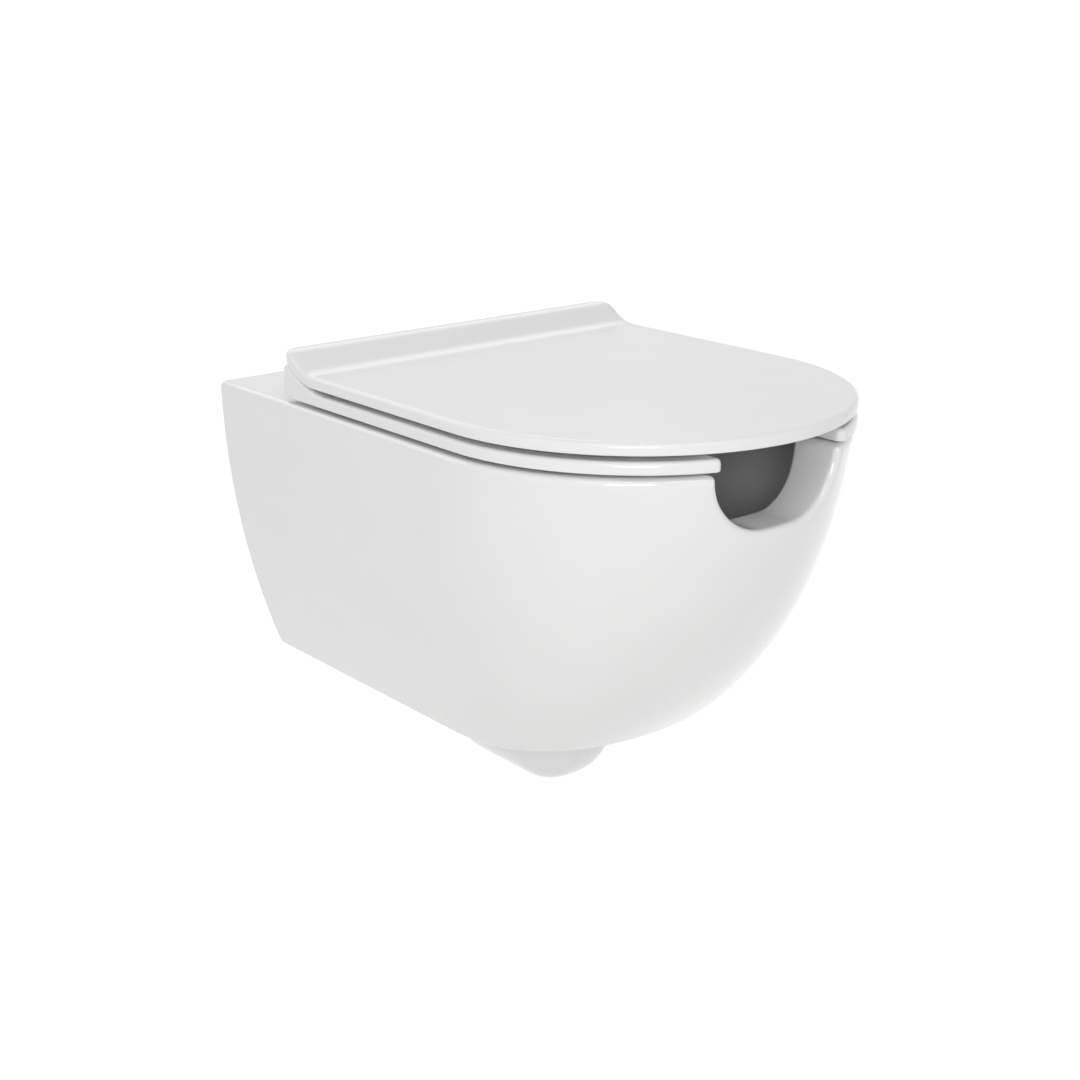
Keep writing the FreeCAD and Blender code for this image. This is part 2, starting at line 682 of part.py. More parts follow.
def hinge_post(side):
    """Foot on the base disc, with an arm that carries the hinge pin."""
    low_x, high_x = post_span(side, 0.0)
    foot_low = (low_x, FOOT_FRONT_Y, DECK_Z + BASE_TOP)
    foot_high = (high_x, FOOT_REAR_Y, DECK_Z + FOOT_TOP)
    above_base = DECK_Z + BASE_TOP + 1.0
    foot = box(foot_low, foot_high)
    foot = rounded(foot, FOOT_ROUNDING, lambda p, e: near(p.y, FOOT_FRONT_Y) and p.z > above_base)
    block = foot.fuse(post_arm(side, 0.0)).fuse(along_x(POST_RADIUS, low_x, high_x))
    block = block.cut(box((low_x, SLOT_FRONT_Y, DECK_Z), (high_x, 0, DECK_Z + BASE_TOP)))
    block = block.cut(along_x(PIN_RADIUS + PRESS_GAP, low_x, high_x))
    bore = cylinder(GRUB_RADIUS + RUNNING_GAP, GRUB_BORE, grub_point(side, 0.0), AXIS_Y)
    return block.removeSplitter().cut(bore)


def grub_point(side, recess):
    return V(side * HINGE_X, FOOT_FRONT_Y + recess, DECK_Z + (BASE_TOP + FOOT_TOP) / 2)


def hinge_grub_screw(side):
    """Headless screw with a hexagon socket that locks the post on its base."""
    start = grub_point(side, GRUB_RECESS)
    body = cylinder(GRUB_RADIUS, GRUB_LENGTH, start, AXIS_Y)
    reach, depth = GRUB_SOCKET
    corners = []
    for i in range(7):
        angle = math.radians(60 * i)
        corners.append(start + V(reach * math.cos(angle), 0, reach * math.sin(angle)))
    return body.cut(Part.Face(Part.makePolygon(corners)).extrude(V(0, depth, 0)))


def above_flat(x_first, x_last, gap):
    """The room above the flat of a slim pin end."""
    z = DECK_Z + AXIS_HEIGHT + PIN_TIP_RADIUS - PIN_FLAT_DEPTH + gap
    low = (min(x_first, x_last), AXIS_Y_POS - PIN_RADIUS, z)
    high = (max(x_first, x_last), AXIS_Y_POS + PIN_RADIUS, z + PIN_RADIUS)
    return box(low, high)


def hinge_pin(side, damped_outside):
    """One pin per hinge: a plain end turns in a bush, a slim flatted end holds a damper rotor."""
    inner_end = HINGE_X - POST_INNER - LUG_GAP - LID_POCKET_LENGTH + PIN_INNER_GAP
    outer_end = HINGE_X + SLOT_OUTER + SEAT_POCKET_LENGTH - PIN_OUTER_GAP
    inner_step = HINGE_X - POST_INNER
    outer_step = HINGE_X + POST_OUTER
    if damped_outside:
        inner_radius = PIN_RADIUS
        outer_radius = PIN_TIP_RADIUS
    else:
        inner_radius = PIN_TIP_RADIUS
        outer_radius = PIN_RADIUS
    pin = along_x(PIN_RADIUS, side * inner_step, side * outer_step)
    pin = pin.fuse(along_x(inner_radius, side * inner_end, side * inner_step))
    pin = pin.fuse(along_x(outer_radius, side * outer_step, side * outer_end)).removeSplitter()
    first, last = (outer_step, outer_end) if damped_outside else (inner_end, inner_step)
    return pin.cut(above_flat(side * first, side * last, 0.0))


def damper_rotor(x_first, x_last):
    """Rotor keyed to the flatted pin end by a D-shaped hole."""
    rotor = along_x(ROTOR_RADIUS, x_first, x_last)
    key = along_x(PIN_TIP_RADIUS + KEY_GAP, x_first, x_last)
    return rotor.cut(key.cut(above_flat(x_first, x_last, KEY_GAP)))


def damper_housing(x_mouth, x_end):
    """Cup that holds the damping grease round the rotor, open towards the hinge post."""
    outward = math.copysign(1.0, x_end - x_mouth)
    cup = along_x(POCKET_RADIUS - RUNNING_GAP, x_mouth, x_end)
    return cup.cut(along_x(ROTOR_RADIUS + RUNNING_GAP, x_mouth, x_end - outward * CUP_FLOOR))


def bush(x_mouth, x_end):
    sleeve = along_x(POCKET_RADIUS - RUNNING_GAP, x_mouth, x_end)
    return sleeve.cut(along_x(PIN_RADIUS + RUNNING_GAP, x_mouth, x_end))


def hinge_screw(side):
    """Countersunk screw that pulls the anchor nut up into its plug."""
    x = side * HINGE_X
    top = DECK_Z + BASE_TOP - HINGE_SCREW_SINK
    shank = cylinder(HINGE_SCREW_RADIUS, HINGE_SCREW_LENGTH, V(x, HINGE_HOLE_Y, top), -AXIS_Z)
    head_radius = HINGE_SCREW_HEAD - HINGE_SCREW_RIM
    head_height = HINGE_SCREW_RADIUS - HINGE_SCREW_RIM
    head_low = V(x, HINGE_HOLE_Y, top - head_height)
    head = Part.makeCone(HINGE_SCREW_RADIUS, head_radius, head_height, head_low, AXIS_Z)
    screw = shank.fuse(head).removeSplitter()
    half, reach, depth = HINGE_SCREW_CROSS
    slot = box((x - half, HINGE_HOLE_Y - reach, top - depth), (x + half, HINGE_HOLE_Y + reach, top + depth))
    cross = box((x - reach, HINGE_HOLE_Y - half, top - depth), (x + reach, HINGE_HOLE_Y + half, top + depth))
    return screw.cut(slot).cut(cross)


def hinge_gasket(side):
    start = V(side * HINGE_X, HINGE_HOLE_Y, DECK_Z)
    return tube(BASE_RADIUS, HINGE_HOLE_RADIUS, BASE_BOTTOM, start, AXIS_Z)


def anchor_plug(side):
    """Rubber plug in the deck hole that the screw squeezes until it grips."""
    start = V(side * HINGE_X, HINGE_HOLE_Y, DECK_Z)
    return tube(HINGE_HOLE_RADIUS - PLUG_GAP, HINGE_SCREW_RADIUS + PLUG_GAP, PLUG_LENGTH, start, -AXIS_Z)


def anchor_nut(side):
    start = V(side * HINGE_X, HINGE_HOLE_Y, DECK_Z - PLUG_LENGTH)
    outer = HINGE_HOLE_RADIUS - ANCHOR_NUT_GAP
    return tube(outer, HINGE_SCREW_RADIUS + THREAD_GAP, ANCHOR_NUT_LENGTH, start, -AXIS_Z)


def stud_point(side, y):
    return V(side * STUD_SPACING / 2, y, 0)


def fixing_sleeve(side):
    """Nylon sleeve that centres the ceramic on the wall stud."""
    sleeve = cylinder(SLEEVE_RADIUS, BACK_WALL, stud_point(side, 0), -AXIS_Y)
    flange = cylinder(SLEEVE_FLANGE[0], SLEEVE_FLANGE[1], stud_point(side, -BACK_WALL), -AXIS_Y)
    bore = cylinder(STUD_BORE_RADIUS, BACK_WALL + SLEEVE_FLANGE[1], stud_point(side, 0), -AXIS_Y)
    return sleeve.fuse(flange).removeSplitter().cut(bore)


def pressure_plate(side):
    face = -BACK_WALL - SLEEVE_FLANGE[1]
    half = PLATE_SIZE / 2
    centre = side * STUD_SPACING / 2
    plate = box((centre - half, face - PLATE_THICK, -half), (centre + half, face, half))
    plate = rounded(plate, PLATE_CORNER, lambda p, e: near(abs(e.tangentAt(e.FirstParameter).y), 1.0))
    return plate.cut(cylinder(STUD_BORE_RADIUS + STUD_GAP, PLATE_THICK, stud_point(side, face), -AXIS_Y))


def clamp_line(side):
    tip = V(side * CLAMP_TIP[0], CLAMP_TIP[1], CLAMP_TIP[2])
    aim = V(side * CLAMP_AIM[0], CLAMP_AIM[1], CLAMP_AIM[2])
    return tip, (aim - tip).normalize()


def wall_bracket(side):
    """Block on the wall stud; the slanted screw in it draws the pan to the wall."""
    face = -BACK_WALL - SLEEVE_FLANGE[1] - PLATE_THICK - BRACKET_GAP
    end = face - BRACKET_LENGTH
    half = BRACKET_SIZE / 2
    centre = side * STUD_SPACING / 2
    block = box((centre - half, end, -half), (centre + half, face, half + BRACKET_SHOULDER))
    block = block.makeChamfer(BRACKET_CHAMFER, [e for e in block.Edges if near(e.CenterOfMass.y, end)])
    block = block.cut(cylinder(STUD_BORE_RADIUS + STUD_GAP, BRACKET_LENGTH, stud_point(side, face), -AXIS_Y))
    tip, direction = clamp_line(side)
    behind, length = CLAMP_BORE
    return block.cut(cylinder(CLAMP_RADIUS + CLAMP_GAP, length, tip - direction * behind, direction))


def clamp_screw(side):
    """Socket screw that a long key reaches through the hinge hole in the deck."""
    tip, direction = clamp_line(side)
    head_start = tip + direction * CLAMP_LENGTH
    screw = cylinder(CLAMP_RADIUS, CLAMP_LENGTH, tip, direction)
    screw = screw.fuse(cylinder(CLAMP_HEAD[0], CLAMP_HEAD[1], head_start, direction)).removeSplitter()
    end = head_start + direction * CLAMP_HEAD[1]
    return screw.cut(cylinder(CLAMP_SOCKET[0], CLAMP_SOCKET[1], end, -direction))


def export(name, shape):
    shape.exportStep("parts/" + name + ".step")
    print(name, "valid", shape.isValid(), "solids", len(shape.Solids), "volume", round(shape.Volume))


SEAT_MOUTH = HINGE_X + SLOT_OUTER
SEAT_POCKET_END = SEAT_MOUTH + SEAT_POCKET_LENGTH
LID_MOUTH = HINGE_X - POST_INNER - LUG_GAP
LID_POCKET_END = LID_MOUTH - LID_POCKET_LENGTH
SIDES = (("left", -1), ("right", 1))

export("pan", pan())
export("seat", seat())
export("lid", lid())
export("seat_buffers", buffers(SEAT_BUFFER_SPOTS, SEAT_BOTTOM, SEAT_BOTTOM))
export("lid_buffers", buffers(LID_BUFFER_SPOTS, LID_BOTTOM, LID_BOTTOM - SEAT_BOTTOM - SEAT_THICK))
for side_name, side_sign in SIDES:
    export("hinge_base_" + side_name, hinge_base(side_sign))
    export("hinge_post_" + side_name, hinge_post(side_sign))
    export("hinge_pin_" + side_name, hinge_pin(side_sign, side_sign < 0))
    export("wall_bracket_" + side_name, wall_bracket(side_sign))
export("seat_damper_housing", damper_housing(-SEAT_MOUTH, -SEAT_POCKET_END))
export("seat_damper_rotor", damper_rotor(-SEAT_MOUTH - ROTOR_MOUTH_GAP, -SEAT_POCKET_END + PIN_OUTER_GAP))
export("seat_bush", bush(SEAT_MOUTH, SEAT_POCKET_END))
export("lid_damper_housing", damper_housing(LID_MOUTH, LID_POCKET_END))
export("lid_damper_rotor", damper_rotor(LID_MOUTH - ROTOR_MOUTH_GAP, LID_POCKET_END + PIN_INNER_GAP))
export("lid_bush", bush(-LID_MOUTH, -LID_POCKET_END))
export("hinge_grub_screws", group([hinge_grub_screw(sign) for name, sign in SIDES]))
export("hinge_screws", group([hinge_screw(sign) for name, sign in SIDES]))
export("hinge_gaskets", group([hinge_gasket(sign) for name, sign in SIDES]))
export("anchor_plugs", group([anchor_plug(sign) for name, sign in SIDES]))
export("anchor_nuts", group([anchor_nut(sign) for name, sign in SIDES]))
export("fixing_sleeves", group([fixing_sleeve(sign) for name, sign in SIDES]))
export("pressure_plates", group([pressure_plate(sign) for name, sign in SIDES]))
export("clamp_screws", group([clamp_screw(sign) for name, sign in SIDES]))
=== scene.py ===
import json
import math

import bmesh
import bpy
import numpy as np
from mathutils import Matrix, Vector


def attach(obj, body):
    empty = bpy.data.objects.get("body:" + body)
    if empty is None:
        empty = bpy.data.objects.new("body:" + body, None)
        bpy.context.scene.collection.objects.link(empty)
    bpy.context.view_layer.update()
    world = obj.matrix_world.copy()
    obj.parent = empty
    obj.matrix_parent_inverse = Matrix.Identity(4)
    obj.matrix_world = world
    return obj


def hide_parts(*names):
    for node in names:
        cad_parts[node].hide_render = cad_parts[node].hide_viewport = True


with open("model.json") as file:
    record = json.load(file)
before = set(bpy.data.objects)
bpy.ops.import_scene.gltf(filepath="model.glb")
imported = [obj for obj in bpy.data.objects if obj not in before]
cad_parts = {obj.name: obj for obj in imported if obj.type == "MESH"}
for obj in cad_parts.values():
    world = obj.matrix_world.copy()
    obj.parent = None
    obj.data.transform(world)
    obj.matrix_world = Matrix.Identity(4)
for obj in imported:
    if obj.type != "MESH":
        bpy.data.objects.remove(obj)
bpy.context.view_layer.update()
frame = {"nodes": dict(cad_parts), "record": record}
cadNodes = frame["nodes"]
print("frame loaded,", len(cadNodes), "nodes")

mm = 0.001  # shapes are worked out in millimetres, meshes are in metres
quarter = math.pi / 2
scene = bpy.context.scene
same = 1e-5  # metres: points closer than this are merged
mirror = np.array([-1.0, 1.0])


def unit(vectors):  # each vector divided by its length
    return vectors / np.maximum(np.linalg.norm(vectors, axis=-1, keepdims=True), 1e-12)


def joined(*parts):  # arrays one after another
    return np.concatenate(parts)


def stack(x, y, z):  # three arrays side by side as points
    x, y, z = np.broadcast_arrays(x, y, z)
    return np.stack([x, y, z], axis=-1).astype(float)


def polarSpread(across, along, fullness):
    # distance to a superellipse of half sizes 1: the sum of both sides' nth powers, to the power of -1/n
    return (np.abs(across) ** fullness + np.abs(along) ** fullness) ** (-1 / fullness)


def polarTurn(x, half, fullness):
    # where round a superellipse the front half has this x: 1 right, 2 middle, 3 left
    share = np.abs(x) / half
    turn = 1 + np.arctan2((1 - share ** fullness) ** (1 / fullness), share) / quarter
    return np.where(x < 0, 4 - turn, turn)


def placed(name, data):  # a new object with this data, in the scene
    thing = bpy.data.objects.new(name, data)
    scene.collection.objects.link(thing)
    return thing


def roundOver(first, corner, last, steps):
    # rational quadratic arc: it leaves first and reaches last along the two straight sides of the corner,
    # and is part of a circle where the two sides are equally long
    a, b = unit(first - corner), unit(last - corner)
    half = np.arccos(np.clip((a * b).sum(-1), -1, 1)) / 2
    weight = np.sin(half)[None, :, None]
    t = np.linspace(0, 1, steps + 1)[:, None, None]
    w0, w1, w2 = (1 - t) ** 2, 2 * t * (1 - t) * weight, t ** 2
    return (w0 * first + w1 * corner + w2 * last) / (w0 + w1 + w2)


def sideOf(first, corner, last, radius):
    # how far from the corner a round of this radius starts: radius over the tangent of half the angle
    a, b = unit(first), unit(last)
    half = np.arccos(np.clip((a * b).sum(-1), -1, 1)) / 2
    return radius / np.tan(half)


def shifted(surface, u, v, move):
    # solves the two surface parameters whose point lies this small move away, by the surface's own slopes
    step = 1e-3
    here = surface(u, v)
    du = (surface(u + step, v) - here) / step
    dv = (surface(u, v + step) - here) / step
    a, b, c = (du * du).sum(-1), (du * dv).sum(-1), (dv * dv).sum(-1)
    e, f = (move * du).sum(-1), (move * dv).sum(-1)
    det = a * c - b * b
    return u + (c * e - b * f) / det, v + (a * f - b * e) / det


def surfaceNormal(surface, u, v):  # cross product of the slopes along u and along v
    step = 1e-3
    here = surface(u, v)
    return unit(np.cross(surface(u + step, v) - here, surface(u, v + step) - here))


def gridFaces(rows, columns, start, wrap):  # quads between neighbouring rows and columns
    i = np.arange(rows - 1)[:, None]
    j = np.arange(columns if wrap else columns - 1)[None, :]
    k = (j + 1) % columns
    quads = np.stack([i * columns + j, i * columns + k, (i + 1) * columns + k, (i + 1) * columns + j], -1)
    return quads.reshape(-1, 4) + start


def meshFrom(name, patches, closeAt=None):
    # patches are (points, wrap) pairs; touching rows merge, and open edges that lie in the planes of
    # closeAt, as y values in millimetres, are filled with a flat face that keeps its holes
    points, faces, start = [], [], 0
    for patch, wrap in patches:
        rows, columns = patch.shape[:2]
        points.append(patch.reshape(-1, 3))
        faces.append(gridFaces(rows, columns, start, wrap))
        start += rows * columns
    mesh = bpy.data.meshes.new(name)
    mesh.from_pydata((np.concatenate(points) * mm).tolist(), [], np.concatenate(faces).tolist())
    bm = bmesh.new()
    bm.from_mesh(mesh)
    bmesh.ops.remove_doubles(bm, verts=bm.verts, dist=same)
    bmesh.ops.dissolve_degenerate(bm, edges=bm.edges, dist=same / 5)
    for y in closeAt or ():
        rim = [e for e in bm.edges if e.is_boundary and all(abs(v.co.y - y * mm) < same / 5 for v in e.verts)]
        bmesh.ops.triangle_fill(bm, use_beauty=True, edges=rim, normal=(0, 1, 0))
    bmesh.ops.recalc_face_normals(bm, faces=bm.faces)
    if bm.calc_volume(signed=True) < 0:
        bmesh.ops.reverse_faces(bm, faces=bm.faces)
    openEdges = sum(e.is_boundary for e in bm.edges)
    bm.to_mesh(mesh)
    bm.free()
    print(name, len(mesh.polygons), "faces,", openEdges, "open edges")
    return mesh


def addPiece(mesh, body, material, replaced=(), sharpAngle=38):
    mesh.shade_smooth()
    mesh.set_sharp_from_angle(angle=math.radians(sharpAngle))
    piece = placed(mesh.name, mesh)
    mesh.materials.clear()
    mesh.materials.append(material)
    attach(piece, body)
    if replaced:
        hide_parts(*replaced)
    return piece


def cutAway(piece, prisms, sharpAngle=30):
    # takes closed prisms out of a piece with a Boolean modifier, applied at once; a prism is its two end
    # rings, with the same number of corners in the same order
    for first, last in prisms:
        count = len(first)
        ring = np.arange(count)
        following = np.roll(ring, -1)
        sides = np.stack([ring, following, following + count, ring + count], -1)
        faces = [ring.tolist(), (ring[::-1] + count).tolist()] + sides.tolist()
        cutter = bpy.data.meshes.new("cutter")
        cutter.from_pydata((joined(first, last) * mm).tolist(), [], faces)
        bm = bmesh.new()
        bm.from_mesh(cutter)
        bmesh.ops.recalc_face_normals(bm, faces=bm.faces)
        bm.to_mesh(cutter)
        bm.free()
        tool = placed("cutter", cutter)
        cut = piece.modifiers.new("cut", "BOOLEAN")
        cut.operation, cut.solver, cut.object = "DIFFERENCE", "EXACT", tool
        bpy.context.view_layer.update()
        result = bpy.data.meshes.new_from_object(piece.evaluated_get(bpy.context.evaluated_depsgraph_get()))
        piece.modifiers.clear()
        old = piece.data
        name = old.name
        piece.data = result
        bpy.data.meshes.remove(old)
        result.name = name
        bpy.data.objects.remove(tool)
        bpy.data.meshes.remove(cutter)
    piece.data.shade_smooth()
    piece.data.set_sharp_from_angle(angle=math.radians(sharpAngle))


def makeGroup(name, inputs, outputs):
    group = bpy.data.node_groups.new(name, "ShaderNodeTree")
    for label, value in inputs.items():
        socket = group.interface.new_socket(label, in_out="INPUT", socket_type="NodeSocketFloat")
        socket.default_value = value
    for label, kind in outputs.items():
        group.interface.new_socket(label, in_out="OUTPUT", socket_type=kind)
    return group, group.nodes.new("NodeGroupInput"), group.nodes.new("NodeGroupOutput")


def feed(tree, socket, value):  # an output socket is linked, a plain value is set
    if isinstance(value, bpy.types.NodeSocket):
        tree.links.new(value, socket)
    else:
        socket.default_value = value


def newNode(tree, kind, **inputs):  # a node with inputs set or linked by name
    node = tree.nodes.new("ShaderNode" + kind)
    for label, value in inputs.items():
        feed(tree, node.inputs[label.replace("_", " ")], value)
    return node


def noiseNode(tree, vector, scale, detail=3.0, roughness=0.55):
    node = newNode(tree, "TexNoise", Detail=detail, Roughness=roughness, Vector=vector, Scale=scale)
    return node.outputs["Fac"]


def mathNode(tree, operation, first, second, clamp=False):
    node = newNode(tree, "Math")
    node.operation, node.use_clamp = operation, clamp
    for socket, value in zip(node.inputs, (first, second)):
        feed(tree, socket, value)
    return node.outputs[0]


def rangeNode(tree, value, fromLow, fromHigh, toLow=0.0, toHigh=1.0):
    return newNode(tree, "MapRange", Value=value, From_Min=fromLow, From_Max=fromHigh,
                   To_Min=toLow, To_Max=toHigh).outputs["Result"]


pattern = dict(rareScale=55.0, speckInner=0.05, speckOuter=0.12, rareFrom=0.60, rareTo=0.66, squeeze=0.06)


def surfaceDetailGroup():
    # Waves: the slow swell of a poured or moulded surface. Grain: fine texture for roughness and height.
    # Specks: rare pinholes. Each is 0 to 1 and follows Object coordinates.
    inputs = {"Wave Scale": 20.0, "Grain Scale": 900.0, "Speck Scale": 160.0}
    outputs = {"Waves": "NodeSocketFloat", "Grain": "NodeSocketFloat", "Specks": "NodeSocketFloat"}
    group, entry, leave = makeGroup("surfaceDetail", inputs, outputs)
    place = newNode(group, "TexCoord").outputs["Object"]
    cells = newNode(group, "TexVoronoi", Vector=place, Scale=entry.outputs["Speck Scale"])
    rare = noiseNode(group, place, pattern["rareScale"], 1.0)
    near = rangeNode(group, cells.outputs["Distance"], pattern["speckInner"], pattern["speckOuter"], 1.0, 0.0)
    chosen = rangeNode(group, rare, pattern["rareFrom"], pattern["rareTo"])
    feed(group, leave.inputs["Waves"], noiseNode(group, place, entry.outputs["Wave Scale"], 2.0, 0.45))
    feed(group, leave.inputs["Grain"], noiseNode(group, place, entry.outputs["Grain Scale"], 4.0, 0.6))
    feed(group, leave.inputs["Specks"], mathNode(group, "MULTIPLY", near, chosen, clamp=True))
    return group


def brushedGroup():
    # fine lines round the X axis: noise squeezed along X and stretched across it, with a coarser stain
    inputs = {"Line Scale": 1400.0, "Stain Scale": 120.0}
    outputs = {"Lines": "NodeSocketFloat", "Stain": "NodeSocketFloat"}
    group, entry, leave = makeGroup("turnedMetal", inputs, outputs)
    place = newNode(group, "TexCoord").outputs["Object"]
    squeeze = newNode(group, "Mapping", Scale=(1.0, pattern["squeeze"], pattern["squeeze"]), Vector=place)
    lines = noiseNode(group, squeeze.outputs["Vector"], entry.outputs["Line Scale"], 3.0, 0.6)
    feed(group, leave.inputs["Lines"], lines)
    feed(group, leave.inputs["Stain"], noiseNode(group, place, entry.outputs["Stain Scale"], 4.0, 0.6))
    return group


surfaceDetail = surfaceDetailGroup()
turnedMetal = brushedGroup()


def blankMaterial(name, roughness, **sockets):
    material = bpy.data.materials.new(name)
    material.use_nodes = True
    tree = material.node_tree
    shader = tree.nodes["Principled BSDF"]
    shader.inputs["Roughness"].default_value = roughness
    for label, value in sockets.items():
        shader.inputs[label.replace("_", " ")].default_value = value
    return material, tree, shader


def colourBetween(tree, factor, low, high):
    node = newNode(tree, "Mix")
    node.data_type = "RGBA"
    for socket, value in zip((node.inputs[0], node.inputs[6], node.inputs[7]), (factor, low, high)):
        feed(tree, socket, (*value, 1) if isinstance(value, tuple) else value)
    return node.outputs[2]


def useGroup(tree, group, **numbers):
    node = newNode(tree, "Group")
    node.node_tree = group
    for label, number in numbers.items():
        node.inputs[label.replace("_", " ")].default_value = number
    return node.outputs


def roughFrom(tree, shader, texture, roughness, shares):  # roughness varies between these shares of itself
    low, high = (min(1.0, roughness * share) for share in shares)
    tree.links.new(rangeNode(tree, texture, 0.25, 0.75, low, high), shader.inputs["Roughness"])


def bumpFrom(tree, shader, height, distance):
    bump = newNode(tree, "Bump", Distance=distance, Strength=1.0, Height=height)
    tree.links.new(bump.outputs["Normal"], shader.inputs["Normal"])


def smoothWhite(name, **look):
    # a white, polished surface: colour drifts slightly with the waves, grain breaks up the gloss,
    # and waves, grain and pinholes raise or sink the surface by microns
    material, tree, shader = blankMaterial(name, look["roughness"], IOR=look["ior"],
                                           Coat_Weight=look["coat"], Coat_Roughness=look["coatRoughness"])
    detail = useGroup(tree, surfaceDetail, Wave_Scale=look["waveScale"], Grain_Scale=look["grainScale"],
                      Speck_Scale=look["speckScale"])
    waves, grain, specks = (detail[label] for label in ("Waves", "Grain", "Specks"))
    base = colourBetween(tree, rangeNode(tree, waves, 0.3, 0.7), look["dark"], look["light"])
    spots = mathNode(tree, "MULTIPLY", specks, look["speckTint"])
    tree.links.new(colourBetween(tree, spots, base, look["speckColour"]), shader.inputs["Base Color"])
    roughFrom(tree, shader, grain, look["roughness"], (0.75, 1.35))
    swell = mathNode(tree, "MULTIPLY", waves, look["waveHeight"])
    fine = mathNode(tree, "MULTIPLY", grain, look["grainHeight"])
    pits = mathNode(tree, "MULTIPLY", specks, -look["pitDepth"])
    bumpFrom(tree, shader, mathNode(tree, "ADD", mathNode(tree, "ADD", swell, fine), pits), mm)
    return material


def turned(name, **look):
    # metal with fine lines round the X axis and a faint stain
    material, tree, shader = blankMaterial(name, look["roughness"], Metallic=1.0)
    detail = useGroup(tree, turnedMetal, Line_Scale=look["lineScale"])
    stain = rangeNode(tree, detail["Stain"], 0.3, 0.75)
    tree.links.new(colourBetween(tree, stain, look["light"], look["dark"]), shader.inputs["Base Color"])
    roughFrom(tree, shader, detail["Lines"], look["roughness"], (0.7, 1.4))
    bumpFrom(tree, shader, mathNode(tree, "MULTIPLY", detail["Lines"], look["lineHeight"]), mm)
    return material


def dull(name, **look):
    # rubber or moulded plastic: mottled colour, rough grain, shallow bump
    material, tree, shader = blankMaterial(name, look["roughness"])
    detail = useGroup(tree, surfaceDetail, Wave_Scale=look["waveScale"], Grain_Scale=look["grainScale"])
    waves, grain = detail["Waves"], detail["Grain"]
    blotch = mathNode(tree, "ADD", mathNode(tree, "MULTIPLY", waves, 0.6), mathNode(tree, "MULTIPLY", grain, 0.4))
    mottle = rangeNode(tree, blotch, 0.35, 0.65)
    tree.links.new(colourBetween(tree, mottle, look["dark"], look["light"]), shader.inputs["Base Color"])
    roughFrom(tree, shader, grain, look["roughness"], (0.85, 1.15))
    bumpFrom(tree, shader, mathNode(tree, "MULTIPLY", grain, look["grainHeight"]), mm)
    return material


glaze = smoothWhite(
    "glazedCeramic", roughness=0.10, ior=1.52, coat=0.6, coatRoughness=0.04,
    dark=(0.797, 0.797, 0.792), light=(0.809, 0.809, 0.805), waveScale=16.0, grainScale=700.0,
    speckScale=140.0, speckTint=0.25, speckColour=(0.60, 0.58, 0.55),
    waveHeight=0.10, grainHeight=0.0012, pitDepth=0.02)
polished = dict(
    ior=1.50, coat=0.3, dark=(0.806, 0.806, 0.802), light=(0.816, 0.816, 0.813), grainScale=1500.0,
    speckScale=200.0, speckTint=0.06, speckColour=(0.70, 0.70, 0.69),
    waveHeight=0.03, grainHeight=0.0018, pitDepth=0.002)
seatFinish = smoothWhite("seatPlastic", **polished, roughness=0.16, coatRoughness=0.08, waveScale=26.0)
lidFinish = smoothWhite("lidPlastic", **polished, roughness=0.18, coatRoughness=0.10, waveScale=22.0)
finishes = {
    "glazed_ceramic": glaze, "seat_plastic": seatFinish, "lid_plastic": lidFinish,
    "buffer_rubber": dull("bufferRubber", roughness=0.55, dark=(0.62, 0.62, 0.61), light=(0.72, 0.72, 0.71),
        waveScale=60.0, grainScale=1800.0, grainHeight=0.01),
    "black_rubber": dull("blackRubber", roughness=0.6, dark=(0.02, 0.02, 0.02), light=(0.05, 0.05, 0.05),
        waveScale=60.0, grainScale=1500.0, grainHeight=0.02),
    "damper_plastic": dull("damperPlastic", roughness=0.42, dark=(0.09, 0.09, 0.10), light=(0.14, 0.14, 0.15),
        waveScale=40.0, grainScale=1400.0, grainHeight=0.01),
    "nylon": dull("nylon", roughness=0.38, dark=(0.70, 0.69, 0.64), light=(0.78, 0.77, 0.73),
        waveScale=40.0, grainScale=1400.0, grainHeight=0.008),
    "plated_zinc": turned("platedZinc", roughness=0.12, light=(0.80, 0.81, 0.83), dark=(0.66, 0.67, 0.69),
        lineScale=900.0, lineHeight=0.001),
    "stainless": turned("stainless", roughness=0.26, light=(0.66, 0.66, 0.67), dark=(0.52, 0.52, 0.53),
        lineScale=1600.0, lineHeight=0.003),
    "zinc_steel": turned("zincSteel", roughness=0.34, light=(0.66, 0.68, 0.71), dark=(0.50, 0.51, 0.54),
        lineScale=700.0, lineHeight=0.003),
    "brass": turned("brass", roughness=0.28, light=(0.78, 0.60, 0.30), dark=(0.58, 0.42, 0.18),
        lineScale=1500.0, lineHeight=0.003),
}
print("materials made:", len(finishes))


